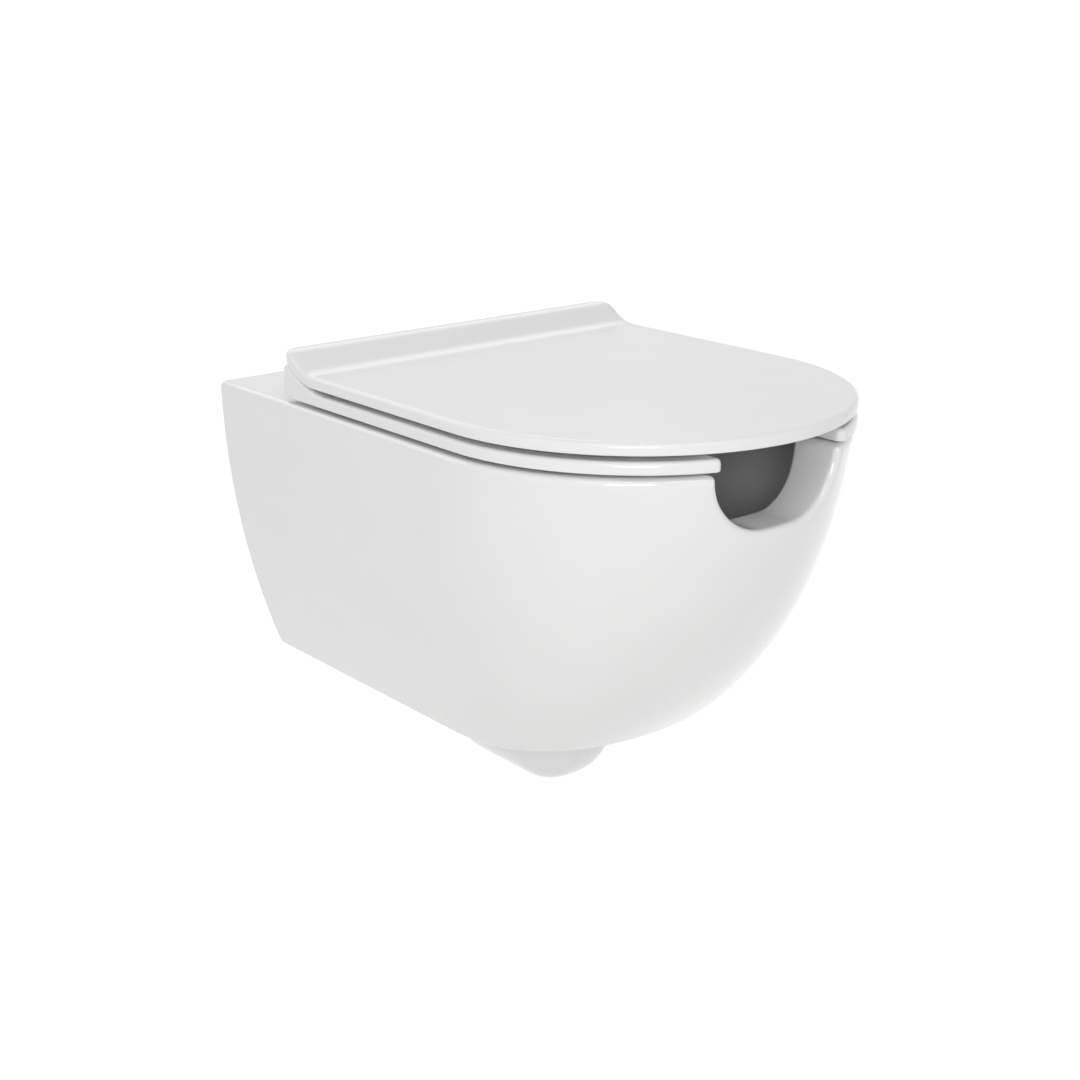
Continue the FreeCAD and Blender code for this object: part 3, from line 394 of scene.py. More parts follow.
deckZ = 80.0
pan = dict(
    halfWidth=182.2, flankRadius=714.0,  # the flanks lean in on a wide arc
    keelRadius=399.3, keelCentreReach=117.0, keelCentreRise=45.3,  # the nose falls back on another
    flankLow=251.7, flankGain=82.3, flankDecay=150.0,  # straight length of the flanks
    fullnessTop=1.93, fullnessGain=0.0015, skirtDepth=258.4,
    rimRound=5.5, skirtRound=4.0,
    notchHalf=64.0, notchDepth=50.0, notchBend=50.0, notchShoulder=5.5,
    flankColumns=92, noseColumns=62, notchColumns=33, backColumns=70, pairing=(0.5, 1.08),
    roundRows=9, footRows=6, skirtRows=72, flatRows=9,
)
bowl = dict(
    levels=((88.0, 137.5, 469.5, 300.0, 186.0), (40.0, 135.0, 465.0, 300.0, 186.0),
            (0.0, 125.0, 451.0, 298.0, 189.0), (-40.0, 106.0, 419.0, 290.0, 196.0),
            (-80.0, 82.0, 374.0, 280.0, 205.0), (-115.0, 60.0, 333.0, 270.0, 214.0),
            (-145.0, 43.0, 304.0, 262.0, 222.0), (-172.0, 33.0, 291.0, 258.5, 226.0)),
    frontFullness=2.2, rearFullness=2.6, edgeRound=5.5,
    mouthHalf=38.0, mouthLow=35.0, mouthHigh=51.0, mouthDeep=26.0,  # where flush water enters
    mouthLip=0.6, mouthMargin=0.1, mouthBehind=210.0, rows=52,
)
trap = dict(route=((-258.0, -172.0), (-258.0, -228.0), (-172.0, -228.0), (-138.0, -100.0), (-70.0, -100.0)),
            bore=29.0, bend=42.0)
outlet = dict(z=-100.0, face=-25.0, outer=51.0, bore=43.0, length=55.0, opening=64.0, chamber=74.0, wall=14.0,
              recess=45.0, bevel=1.2, innerLip=((0.0, 2.0), (0.8, 0.7), (2.5, 0.0)),
              outerLip=((2.5, 0.0), (0.7, 0.7), (0.0, 2.5)))
inlet = dict(z=35.0, radius=27.5, length=35.0, channel=20.0, channelEnd=165.0, bevel=1.0)
studs = dict(x=90.0, hole=13.05, chamber=31.0, depth=66.0)


def hullSection(z):  # depth below the deck, half width and fullness at this height
    depth = deckZ - z
    width = pan["halfWidth"] - pan["flankRadius"] + np.sqrt(pan["flankRadius"] ** 2 - depth ** 2)
    return depth, width, pan["fullnessTop"] + pan["fullnessGain"] * depth


def hullPoint(q, z):
    # the outside of the pan. z is the height; q runs round the pan: 0 to 1 along the right flank from the
    # wall, 1 to 3 round the nose as a superellipse in polar form, 3 to 4 back along the left flank
    depth, width, fullness = hullSection(z)
    reach = pan["keelCentreReach"] + np.sqrt(pan["keelRadius"] ** 2 - (depth + pan["keelCentreRise"]) ** 2)
    straight = pan["flankLow"] + pan["flankGain"] * np.exp(-depth / pan["flankDecay"])
    angle = np.clip(q - 1, 0, 2) * quarter
    across, along = np.cos(angle), np.sin(angle)
    spread = polarSpread(across, along, fullness)
    x = width * across * spread
    y = -straight - (reach - straight) * along * spread
    x = np.where(q < 1, width, np.where(q > 3, -width, x))
    y = np.where(q < 1, -straight * q, np.where(q > 3, -straight * (4 - q), y))
    return stack(x, y, z)


def hullTurn(x, z):  # the q of the nose point at this x and height
    _, width, fullness = hullSection(z)
    return polarTurn(x, width, fullness)


def bowlLevel(z, column):
    # smooth curve through the basin's levels: cubic Hermite spans with slopes from the neighbours
    table = np.array(bowl["levels"])[::-1]
    heights, values = table[:, 0], table[:, column]
    slopes = np.gradient(values, heights)
    k = np.clip(np.searchsorted(heights, z) - 1, 0, len(heights) - 2)
    span = heights[k + 1] - heights[k]
    t = (z - heights[k]) / span
    return ((2 * t ** 3 - 3 * t ** 2 + 1) * values[k] + (t ** 3 - 2 * t ** 2 + t) * span * slopes[k]
            + (3 * t ** 2 - 2 * t ** 3) * values[k + 1] + (t ** 3 - t ** 2) * span * slopes[k + 1])


def ovalPoint(p, half, front, widest, rear):
    # p runs round an oval: 0 rear, 1 right, 2 front, 3 left; each quarter is a superellipse
    angle = (p - 1) * quarter
    across, along = np.cos(angle), np.sin(angle)
    spread = polarSpread(across, along, np.where(along > 0, bowl["frontFullness"], bowl["rearFullness"]))
    span = np.where(along > 0, front - widest, widest - rear)
    return half * across * spread, -widest - span * along * spread


def bowlPoint(p, z):  # the basin wall, an oval at each height
    x, y = ovalPoint(p, *(bowlLevel(z, column) for column in (1, 2, 3, 4)))
    return stack(x, y, z)


def bowlTurn(x, z):  # the p of the front wall's point at this x and height
    return polarTurn(x, bowlLevel(z, 1), bowl["frontFullness"])


def notchPath(u):
    # the rim's height profile seen from the front, by length from the middle of the cut-out: flat floor,
    # circular bend up, small shoulder over to the level rim, straight on from there. The two arcs touch
    # where the cosine of the turn is the shoulder's drop below the bend's centre over both radii together
    bend, shoulder, depth = pan["notchBend"], pan["notchShoulder"], pan["notchDepth"]
    floor = pan["notchHalf"] - bend
    low = deckZ - depth
    turn = math.acos((shoulder + bend - depth) / (bend + shoulder))
    bendEnd = floor + bend * turn
    levelStart = bendEnd + shoulder * turn
    a = np.abs(u)
    t1 = np.clip((a - floor) / bend, 0, turn)
    t2 = turn - np.clip((a - bendEnd) / shoulder, 0, turn)
    x = np.minimum(a, floor) + bend * np.sin(t1) + shoulder * (math.sin(turn) - np.sin(t2))
    z = low + bend * (1 - np.cos(t1)) + shoulder * (np.cos(t2) - math.cos(turn))
    return np.sign(u) * (x + np.maximum(a - levelStart, 0)), z, levelStart


levelStart = float(notchPath(0.0)[2])  # length along the profile where the rim is level again
levelX = float(notchPath(levelStart)[0])


def rimPoint(u, y, front):
    # the top of the rim, unrolled: u across, along the cut-out's profile on the front half
    x, z, _ = notchPath(u)
    return stack(np.where(front, x, u), y, np.where(front, z, deckZ))


def rimMove(u, y, front, move):  # unrolled place after a small move along the surface
    step = 1e-3
    slope = unit(rimPoint(u + step, y, front) - rimPoint(u - step, y, front))
    return u + (move * slope).sum(-1), y + move[..., 1]


def makePan():
    # columns run round the pan, from the wall along the right flank, round the nose and back
    startTurn = float(hullTurn(levelX, deckZ))
    flank = np.linspace(0, 1, pan["flankColumns"], endpoint=False)
    nose = np.linspace(1, startTurn, pan["noseColumns"], endpoint=False)
    cut = np.linspace(levelStart, 0, pan["notchColumns"])
    side = joined(flank, nose)
    noseTop = hullPoint(nose, np.full_like(nose, deckZ))
    uNose = noseTop[:, 0] - levelX + levelStart
    uHalf = joined(np.full(len(flank), pan["halfWidth"]), uNose, cut)
    u = joined(uHalf, -uHalf[-2::-1])
    front = joined(np.zeros(len(flank), bool), np.ones(len(uHalf) - len(flank), bool))
    front = joined(front, front[-2::-1])
    x, z, _ = notchPath(u)
    z = np.where(front, z, deckZ)
    q = joined(side, np.zeros(2 * len(cut) - 1), 4 - side[::-1])
    inCut = front & (np.abs(u) <= levelStart + 1e-9)
    q = np.where(inCut, hullTurn(np.where(inCut, x, 0.0), z), q)
    edge = hullPoint(q, z)

    # the rim's inner edge pairs straight across in the cut-out and fans out to the sides
    pStart = float(bowlTurn(levelX, deckZ))
    pairing = np.interp(np.minimum(q, 4 - q), [0, 1, startTurn], [*pan["pairing"], pStart])
    p = np.where(q < 2, pairing, 4 - pairing)
    p = np.where(inCut, bowlTurn(np.where(inCut, x, 0.0), z), p)
    along = unit(np.gradient(edge, axis=0))
    ruling = np.where(front[:, None], (0.0, 1.0, 0.0), np.array([-1.0, 0, 0]) * np.sign(u)[:, None])
    topNormal = unit(np.cross(ruling, along))
    outerDown = np.cross(unit(-surfaceNormal(hullPoint, q, z)), along)
    outerIn = np.cross(along, topNormal)
    run = sideOf(outerDown, edge, outerIn, pan["rimRound"])[:, None]
    qLow, zLow = shifted(hullPoint, q, z, outerDown * run)
    uIn, yIn = rimMove(u, edge[:, 1], front, outerIn * run)
    lower, upper = hullPoint(qLow, zLow), rimPoint(uIn, yIn, front)
    outerRound = roundOver(lower, edge, upper, pan["roundRows"])

    # skirt, its rounded foot and the flat underside
    skirtZ = deckZ - pan["skirtDepth"]
    length = joined([0], np.cumsum(np.linalg.norm(np.diff(edge, axis=0), axis=1)))
    flankEnd = length[len(flank)]
    middle = length[len(uHalf) - 1]
    share = (np.minimum(length, length[-1] - length) - flankEnd) / (middle - flankEnd)
    qFoot = np.where(share < 0, np.minimum(q, 4 - q), 1 + np.clip(share, 0, 1))
    qFoot = np.where(np.arange(len(q)) < len(uHalf), qFoot, 4 - qFoot)
    zFoot = np.full_like(qFoot, skirtZ)
    foot = hullPoint(qFoot, zFoot)
    footAlong = unit(np.gradient(foot, axis=0))
    footUp = np.cross(footAlong, unit(-surfaceNormal(hullPoint, qFoot, zFoot)))
    footIn = np.cross(footAlong, np.array([0, 0, 1.0]))
    footRun = sideOf(footUp, foot, footIn, pan["skirtRound"])[:, None]
    qUp, zUp = shifted(hullPoint, qFoot, zFoot, footUp * footRun)
    footRound = roundOver(foot + footIn * footRun, foot, hullPoint(qUp, zUp), pan["footRows"])
    t = np.linspace(0, 1, pan["skirtRows"])[:, None]
    skirt = hullPoint(qUp + (qLow - qUp) * t, zUp + (zLow - zUp) * t)
    spineFront = foot[:, 1].min() + foot[:, 0].max()  # the underside's rows run in to a line down its middle
    spine = stack(0.0, np.clip(footRound[0, :, 1], spineFront, 0.0), skirtZ)
    fan = footRound[0] + (spine - footRound[0]) * np.linspace(1, 0, pan["flatRows"])[:, None, None]
    outside = joined(fan[:-1], footRound[:-1], skirt[:-1], outerRound)

    # deck and rim top, then the basin, all the way round; the back columns lie along the wall
    backX = np.linspace(-1, 1, pan["backColumns"])[1:-1] * uIn[0]
    uAll = joined(uIn, backX)
    yAll = joined(yIn, np.zeros_like(backX))
    frontAll = joined(front, np.zeros(len(backX), bool))
    pAll = joined(p, 4 + 0.5 * backX / uIn[0])
    zAll = joined(z, np.full_like(backX, deckZ))
    edgeAll = bowlPoint(pAll, zAll)
    looped = joined(edgeAll[-1:], edgeAll, edgeAll[:1])
    alongIn = unit(looped[2:] - looped[:-2])
    wallNormal = surfaceNormal(bowlPoint, pAll, zAll)
    innerDown = np.cross(alongIn, wallNormal)
    inCutAll = joined(inCut, np.zeros(len(backX), bool))
    upNormal = np.where(inCutAll[:, None], unit(np.cross((0.0, 1.0, 0.0), alongIn)), (0.0, 0.0, 1.0))
    innerOut = np.cross(upNormal, alongIn)
    runIn = sideOf(innerDown, edgeAll, innerOut, bowl["edgeRound"])[:, None]
    uEdge = np.where(inCutAll, joined(u, backX), edgeAll[:, 0])
    wide = np.abs(edgeAll[:, 0]) - levelX + levelStart
    uEdge = np.where(frontAll & ~inCutAll, np.sign(edgeAll[:, 0]) * wide, uEdge)
    uRim, yRim = rimMove(uEdge, edgeAll[:, 1], frontAll, innerOut * runIn)
    pLow, zLowIn = shifted(bowlPoint, pAll, zAll, innerDown * runIn)
    innerRound = roundOver(rimPoint(uRim, yRim, frontAll), edgeAll, bowlPoint(pLow, zLowIn), pan["roundRows"])
    t = np.linspace(0, 1, pan["flatRows"])[:, None]
    rimTop = rimPoint(uAll + (uRim - uAll) * t, yAll + (yRim - yAll) * t, frontAll)

    # basin rows; extra rows and a push make the flush mouth in the rear wall
    floorZ, startZ = bowl["levels"][-1][0], deckZ - bowl["edgeRound"]
    mouthHigh, mouthLow, lip = bowl["mouthHigh"], bowl["mouthLow"], bowl["mouthLip"]
    mouthRows = [(startZ - height) / (startZ - floorZ)
                 for height in (mouthHigh + lip, mouthHigh, mouthLow, mouthLow - lip)]
    t = np.sort(joined(np.linspace(0, 1, bowl["rows"]), mouthRows))[:, None]
    basin = bowlPoint(pLow + (pAll - pLow) * t, zLowIn + (floorZ - zLowIn) * t)
    atRear = (basin[..., 1] > -bowl["mouthBehind"]) & (np.abs(basin[..., 0]) < bowl["mouthHalf"])
    margin = bowl["mouthMargin"]
    inMouth = (basin[..., 2] < mouthHigh + margin) & (basin[..., 2] > mouthLow - margin)
    basin[..., 1] += np.where(atRear & inMouth, bowl["mouthDeep"], 0.0)

    # waterway: a circle carried along the trap's route, straight runs joined by tangent bends
    places, headings = routeOf(trap["route"], trap["bend"])
    turn = (pAll - 1) * quarter
    facing = np.sin(turn)[None, :]
    bore = stack(trap["bore"] * np.cos(turn)[None, :], places[:, 0:1] + trap["bore"] * facing * headings[:, 1:2],
                 places[:, 1:2] - trap["bore"] * facing * headings[:, 0:1])
    face, outer, tube = outlet["face"], outlet["outer"], outlet["bore"]
    stages = [(trap["bore"], face - outlet["recess"]), (tube, face - outlet["recess"]),
              *((tube + out, face - rear) for out, rear in outlet["innerLip"]),
              *((outer - out, face - rear) for out, rear in outlet["outerLip"]),
              (outer, face - outlet["length"]), (outlet["chamber"], face - outlet["length"]),
              (outlet["chamber"], -outlet["wall"]), (outlet["opening"], -outlet["wall"]),
              (outlet["opening"], -outlet["bevel"]), (outlet["opening"] + outlet["bevel"], 0.0)]
    spigot = np.stack([stack(r * np.cos(turn), y, outlet["z"] - r * np.sin(turn)) for r, y in stages])
    within = joined(rimTop[:-1], innerRound[:-1], basin, bore, spigot)

    # holes of the back: flush inlet with its channel, and the two stud holes
    angles = np.linspace(0, 2 * math.pi, 64, endpoint=False)

    def boreInWall(x, z, stages):
        return np.stack([stack(x + r * np.cos(angles), y, z + r * np.sin(angles)) for r, y in stages])

    r, bevel, channel = inlet["radius"], inlet["bevel"], inlet["channel"]
    stages = [(r + bevel, 0.0), (r, -bevel), (r, -inlet["length"]), (channel, -inlet["length"]),
              (channel, -inlet["channelEnd"]), (0.0, -inlet["channelEnd"])]
    patches = [(outside, False), (within, True), (boreInWall(0.0, inlet["z"], stages), True)]
    for sign in (-1, 1):
        stages = [(studs["hole"], 0.0), (studs["hole"], -outlet["wall"]), (studs["chamber"], -outlet["wall"]),
                  (studs["chamber"], -studs["depth"]), (0.0, -studs["depth"])]
        patches.append((boreInWall(sign * studs["x"], 0.0, stages), True))
    return meshFrom("panCeramic", patches, closeAt=(0.0,))


def routeOf(corners, bend):
    # points and headings along straight runs joined by tangent arcs, in the plane of symmetry, as (y, z)
    corners = np.array(corners)
    places, headings = [corners[0]], [unit(corners[1] - corners[0])]
    for before, corner, after in zip(corners, corners[1:], corners[2:]):
        arriving, leaving = unit(corner - before), unit(after - corner)
        turn = math.acos(float(np.clip(arriving @ leaving, -1, 1)))
        enter = corner - arriving * bend * math.tan(turn / 2)
        swing = np.sign(arriving[0] * leaving[1] - arriving[1] * leaving[0])
        centre = enter + swing * bend * np.array([-arriving[1], arriving[0]])
        for share in np.linspace(0, 1, 8):
            c, s = math.cos(share * turn * swing), math.sin(share * turn * swing)
            spin = np.array([[c, -s], [s, c]])
            places.append(centre + spin @ (enter - centre))
            headings.append(spin @ arriving)
    places.append(corners[-1])
    headings.append(unit(corners[-1] - corners[-2]))
    return np.array(places), np.array(headings)


addPiece(makePan(), "pan", glaze, ["pan"])

bulge = dict(halfWidth=50.0, depth=88.2, frontStart=234.8, frontLength=63.0, rearStart=169.0, rearLength=68.0,
             sectionFullness=2.7, endFullness=2.15, overlap=8.0,
             endRows=26, middleRows=12, columns=61)


def makeBulge():
    # the swelling that holds the trap: a superellipse section that shrinks by a superellipse at each end
    top = deckZ - pan["skirtDepth"]
    gamma = np.linspace(0, quarter, bulge["endRows"])
    spread = polarSpread(np.cos(gamma), np.sin(gamma), bulge["endFullness"])
    scale, reach = np.cos(gamma) * spread, np.sin(gamma) * spread
    scale[-1], reach[-1] = 0.0, 1.0
    y = joined(-bulge["frontStart"] - bulge["frontLength"] * reach[::-1],
               np.linspace(-bulge["frontStart"], -bulge["rearStart"], bulge["middleRows"] + 2)[1:-1],
               -bulge["rearStart"] + bulge["rearLength"] * reach)
    size = joined(scale[::-1], np.ones(bulge["middleRows"]), scale)
    beta = np.linspace(0, math.pi, bulge["columns"])
    spread = polarSpread(np.cos(beta), np.sin(beta), bulge["sectionFullness"])
    across, down = np.cos(beta) * spread, np.sin(beta) * spread
    points = stack(bulge["halfWidth"] * size[:, None] * across, y[:, None],
                   top - bulge["depth"] * size[:, None] * down)
    lift = np.array([0, 0, bulge["overlap"]]) * (size > 0.02)[:, None, None]  # none at the pointed ends
    points = np.concatenate([points[:, :1] + lift, points, points[:, -1:] + lift], axis=1)
    return meshFrom("trapSwelling", [(points, True)])


addPiece(makeBulge(), "pan", glaze)
print("pan made")


outline = dict(halfWidth=179.0, straight=334.4, reach=515.7, rear=94.5)
lidShape = dict(corner=17.0, bottom=17.8, thick=9.5, edge=3.8, underEdge=1.0, lipTop=43.2, lipFoot=144.7,
                lipCrest=99.0, hollowShare=0.6,
                cornerColumns=13, rearEnd=-160.0, rearRows=26, flankRows=45, noseColumns=80, columns=90)
axis = dict(y=-104.0, height=22.0)  # the hinge axis: height above the deck
hingeZ = deckZ + axis["height"]
seatShape = dict(corner=10.0, bottom=3.65, thick=9.5, edge=3.8, underEdge=1.0, barrel=9.5,
                 slope=math.radians(37.5), barrelEnd=math.radians(15.0),
                 openHalf=118.0, openFront=452.0, openWidest=300.0, openRear=206.0,
                 gapHalf=62.0, endRound=6.0, slotInner=44.0, slotOuter=96.0, slotFront=-146.0, slotRear=-60.0,
                 noseColumns=60, flankColumns=70, cornerColumns=11, rearColumns=56, turns=(1.06, 0.45),
                 smoothing=12, rows=46, endFade=30)


def lipCurve(y, under):
    # height above the deck of the lid's top, or of its underside: flat, then a hollow arc and a crown arc
    # of equal slope where they meet, up to the level lip; the underside is the same curve one thickness in
    s = lidShape
    rise = s["lipTop"] - s["bottom"] - s["thick"]
    run = s["lipFoot"] - s["lipCrest"]
    slope = 2 * math.atan(rise / run)
    inset = s["thick"] if under else 0
    hollow = run * s["hollowShare"] / math.sin(slope) + inset
    crown = run * (1 - s["hollowShare"]) / math.sin(slope) - inset
    flat = s["bottom"] + s["thick"] - inset
    top = s["lipTop"] - inset
    fromFoot = np.clip(y + s["lipFoot"], 0, hollow * math.sin(slope))
    fromCrest = np.clip(-s["lipCrest"] - y, 0, crown * math.sin(slope))
    rising = flat + hollow - np.sqrt(hollow ** 2 - fromFoot ** 2)
    falling = top - crown + np.sqrt(crown ** 2 - fromCrest ** 2)
    return np.where(y + s["lipFoot"] < hollow * math.sin(slope), rising, falling)


def seatCurve(y):
    # height above the deck of the seat's top: flat, a ramp arc, then the barrel round the hinge axis
    top = seatShape["bottom"] + seatShape["thick"]
    barrel, slope = seatShape["barrel"], seatShape["slope"]
    contactY = axis["y"] - barrel * math.sin(slope)
    contactZ = axis["height"] + barrel * math.cos(slope)
    ramp = (contactZ - top) / (1 - math.cos(slope))
    footY = contactY - ramp * math.sin(slope)
    onRamp = top + ramp - np.sqrt(ramp ** 2 - np.clip(y - footY, 0, ramp * math.sin(slope)) ** 2)
    onBarrel = axis["height"] + np.sqrt(np.maximum(barrel ** 2 - (y - axis["y"]) ** 2, 0))
    return np.where(y < contactY, onRamp, onBarrel)


def edgeBand(points, normals, top, topRound, bottom, bottomRound, steps=6):
    # rows from the inset top edge over the round, down the side and round to the inset bottom edge
    rows = []
    phi = np.linspace(quarter, 0, steps + 1)
    for angle in phi:
        plan = points - normals * topRound * (1 - math.cos(angle))
        rows.append(stack(plan[:, 0], plan[:, 1], top(plan[:, 1]) - topRound * (1 - math.sin(angle))))
    for angle in phi[::-1]:
        plan = points - normals * bottomRound * (1 - math.cos(angle))
        rows.append(stack(plan[:, 0], plan[:, 1], bottom(plan[:, 1]) + bottomRound * (1 - math.sin(angle))))
    return np.stack(rows) + np.array([0, 0, deckZ])


def noseArc(tau):  # the elliptical front of the lid and seat, with its normals
    length = outline["reach"] - outline["straight"]
    points = np.stack([outline["halfWidth"] * np.cos(tau), -outline["straight"] - length * np.sin(tau)], -1)
    return points, unit(np.stack([np.cos(tau) / outline["halfWidth"], -np.sin(tau) / length], -1))


def cornerArc(x, y, radius, alpha):  # an arc about this centre, with its normals
    normals = np.stack([np.cos(alpha), np.sin(alpha)], -1)
    return np.array([x, y]) + radius * normals, normals


def straightRun(x, y, normal):  # points along X or Y, all with this normal
    points = np.stack(np.broadcast_arrays(x, y), -1).astype(float)
    return points, np.tile(normal, (len(points), 1))


def makeLid():
    # plan: rows at constant y between the two sides of the outline; the edge band runs round all of it
    s = lidShape
    cornerX, cornerY = outline["halfWidth"] - s["corner"], -outline["rear"] - s["corner"]
    corner, cornerN = cornerArc(cornerX, cornerY, s["corner"], np.linspace(quarter, 0, s["cornerColumns"]))
    ramp = np.linspace(cornerY, s["rearEnd"], s["rearRows"])[1:]
    straight = np.linspace(s["rearEnd"], -outline["straight"], s["flankRows"])[1:-1]
    flank, flankN = straightRun(outline["halfWidth"], joined(ramp, straight), (1.0, 0.0))
    nose, noseN = noseArc(np.linspace(0, quarter, s["noseColumns"]))
    side = joined(corner, flank, nose)
    sideN = joined(cornerN, flankN, noseN)
    side[-1, 0] = 0.0
    columns = s["columns"]
    rear, rearN = straightRun(np.linspace(-cornerX, cornerX, columns + 1)[1:-1], -outline["rear"], (0.0, 1.0))
    loop = joined(side, side[-2::-1] * mirror, rear)
    loopN = joined(sideN, sideN[-2::-1] * mirror, rearN)
    top, under = (lambda y: lipCurve(y, False)), (lambda y: lipCurve(y, True))
    band = edgeBand(loop, loopN, top, s["edge"], under, s["underEdge"])
    across = np.linspace(-1, 1, columns + 1)

    def fill(inset, height):
        ends = side - sideN * inset
        return stack(ends[:, :1] * across, ends[:, 1:], height(ends[:, 1:]) + deckZ)

    patches = [(fill(s["edge"], top), False), (band, True), (fill(s["underEdge"], under), False)]
    return meshFrom("lidPanel", patches)


def makeSeat():
    # an open ring: an outer and an inner path from the right gap end round the rear to the left one, the
    # rows between them drawn as a Coons patch, and an edge band round the whole outline
    s = seatShape
    rearY = axis["y"] + s["barrel"] * math.cos(s["barrelEnd"])
    tau = np.linspace(math.acos(s["gapHalf"] / outline["halfWidth"]), 0, s["noseColumns"])
    nose, noseN = noseArc(tau)
    cornerX, cornerY = outline["halfWidth"] - s["corner"], rearY - s["corner"]
    flankY = np.linspace(-outline["straight"], cornerY, s["flankColumns"])[1:]
    flank, flankN = straightRun(outline["halfWidth"], flankY, (1.0, 0.0))
    corner, cornerN = cornerArc(cornerX, cornerY, s["corner"], np.linspace(0, quarter, s["cornerColumns"])[1:])
    rear, rearN = straightRun(np.linspace(cornerX, 0, s["rearColumns"])[1:], rearY, (0.0, 1.0))
    outer, outerN = joined(nose, flank, corner, rear), joined(noseN, flankN, cornerN, rearN)

    # inner path at the same number of points, paired station by station
    pGap = float(polarTurn(s["gapHalf"], s["openHalf"], bowl["frontFullness"]))
    stations = [0, len(nose) - 1, len(nose) + len(flank), len(outer) - 1]
    p = np.interp(np.arange(len(outer)), stations, [pGap, *s["turns"], 0.0])
    window = 2 * s["smoothing"] + 1
    p = np.pad(p, s["smoothing"], mode="reflect", reflect_type="odd")
    p = np.convolve(p, np.ones(window) / window, mode="valid")
    p[0], p[-1] = pGap, 0.0

    def opening(p):
        return np.stack(ovalPoint(p, s["openHalf"], s["openFront"], s["openWidest"], s["openRear"]), -1)

    inner = opening(p)
    ahead = unit(opening(p - 1e-4) - opening(p + 1e-4))
    innerN = np.stack([-ahead[:, 1], ahead[:, 0]], -1)  # towards the opening
    innerN *= np.sign((innerN * (np.array([0, -s["openWidest"]]) - inner)).sum(-1))[:, None]

    # round the two corners of the gap end: the paths are trimmed and an arc joins them to the end line;
    # the first half of the arc goes with the end line, the second half with the path
    half = 5

    def endArc(along, across, at):
        a, b = unit(along), unit(across)
        run = s["endRound"] / math.tan(math.acos(float(a @ b)) / 2)
        return roundOver((at + b * run)[None], at[None], (at + a * run)[None], 2 * half)[:, 0], run

    arcOut, runOut = endArc(outer[1] - outer[0], inner[0] - outer[0], outer[0])
    arcIn, runIn = endArc(inner[1] - inner[0], outer[0] - inner[0], inner[0])

    def trimmed(path, normals, arc, run):
        travel = joined([0], np.cumsum(np.linalg.norm(np.diff(path, axis=0), axis=1)))
        fit = run + (travel[-1] - run) * np.linspace(0, 1, len(path))
        body = np.stack([np.interp(fit, travel, path[:, k]) for k in (0, 1)], -1)
        bodyN = unit(np.stack([np.interp(fit, travel, normals[:, k]) for k in (0, 1)], -1))
        tangent = unit(np.gradient(arc, axis=0))
        sideways = np.stack([tangent[:, 1], -tangent[:, 0]], -1)
        sideways *= np.sign((sideways[-1] * bodyN[0]).sum())
        return (joined(arc[half:-1], body), joined(sideways[half:-1], bodyN),
                arc[:half + 1], sideways[:half + 1])

    outer, outerN, startOut, startOutN = trimmed(outer, outerN, arcOut, runOut)
    inner, innerN, startIn, startInN = trimmed(inner, innerN, arcIn, runIn)
    t = np.linspace(0, 1, s["rows"] - 2 * half)[:, None]
    line = startOut[0] + (startIn[0] - startOut[0]) * t
    lineN = np.tile([-1.0, 0.0], (len(line), 1))
    end = joined(startOut[:0:-1], line, startIn[1:])
    endN = joined(startOutN[:0:-1], lineN, startInN[1:])

    def both(path):  # the right half of a path and its mirror image
        return joined(path, path[-2::-1] * mirror)

    outer, outerN, inner, innerN = both(outer), both(outerN), both(inner), both(innerN)
    loop = joined(outer, (end * mirror)[1:-1], inner[::-1], end[-2:0:-1])
    loopN = joined(outerN, (endN * mirror)[1:-1], innerN[::-1], endN[-2:0:-1])
    top, under = seatCurve, (lambda y: np.full_like(y, s["bottom"]))
    band = edgeBand(loop, loopN, top, s["edge"], under, s["underEdge"])
    u = np.linspace(0, 1, len(outer))[None, :, None]
    v = np.linspace(0, 1, len(end))[:, None, None]

    def fill(inset, height):
        o, i, e = (a - n * inset for a, n in ((outer, outerN), (inner, innerN), (end, endN)))
        flat = (1 - v) * o[None] + v * i[None]
        lack = e[:, None] - ((1 - v) * o[0] + v * i[0])
        plan = flat + lack * (1 - u) ** s["endFade"] + lack * mirror * u ** s["endFade"]
        return stack(plan[..., 0], plan[..., 1], height(plan[..., 1]) + deckZ)

    patches = [(fill(s["edge"], top), False), (band, True), (fill(s["underEdge"], under), False)]
    return meshFrom("seatRing", patches)


lidPiece = addPiece(makeLid(), "lid", lidFinish, ["lid"])
seatPiece = addPiece(makeSeat(), "seat", seatFinish, ["seat"])


hinge = dict(postInner=67.5, postOuter=95.5, pocket=6.5, pocketLength=27.0, armTurn=math.radians(220.6),
             armHalf=5.0, armLength=22.0, margin=0.8, opening=math.radians(184.0))


def alongX(first, last, yz):  # a prism along X: its side view at both ends
    return [stack(x, yz[:, 0], yz[:, 1]) for x in sorted((first, last))]


def armAway(angle):
    # side view of a hinge post's arm with its margin, after a turn about the hinge axis
    direction = hinge["armTurn"] + angle
    along = np.array([math.cos(direction), math.sin(direction)]) * hinge["armLength"]
    across = np.array([-math.sin(direction), math.cos(direction)]) * (hinge["armHalf"] + hinge["margin"])
    centre = np.array([axis["y"], hingeZ])
    return centre + np.array([across, -across, along - across, along + across])


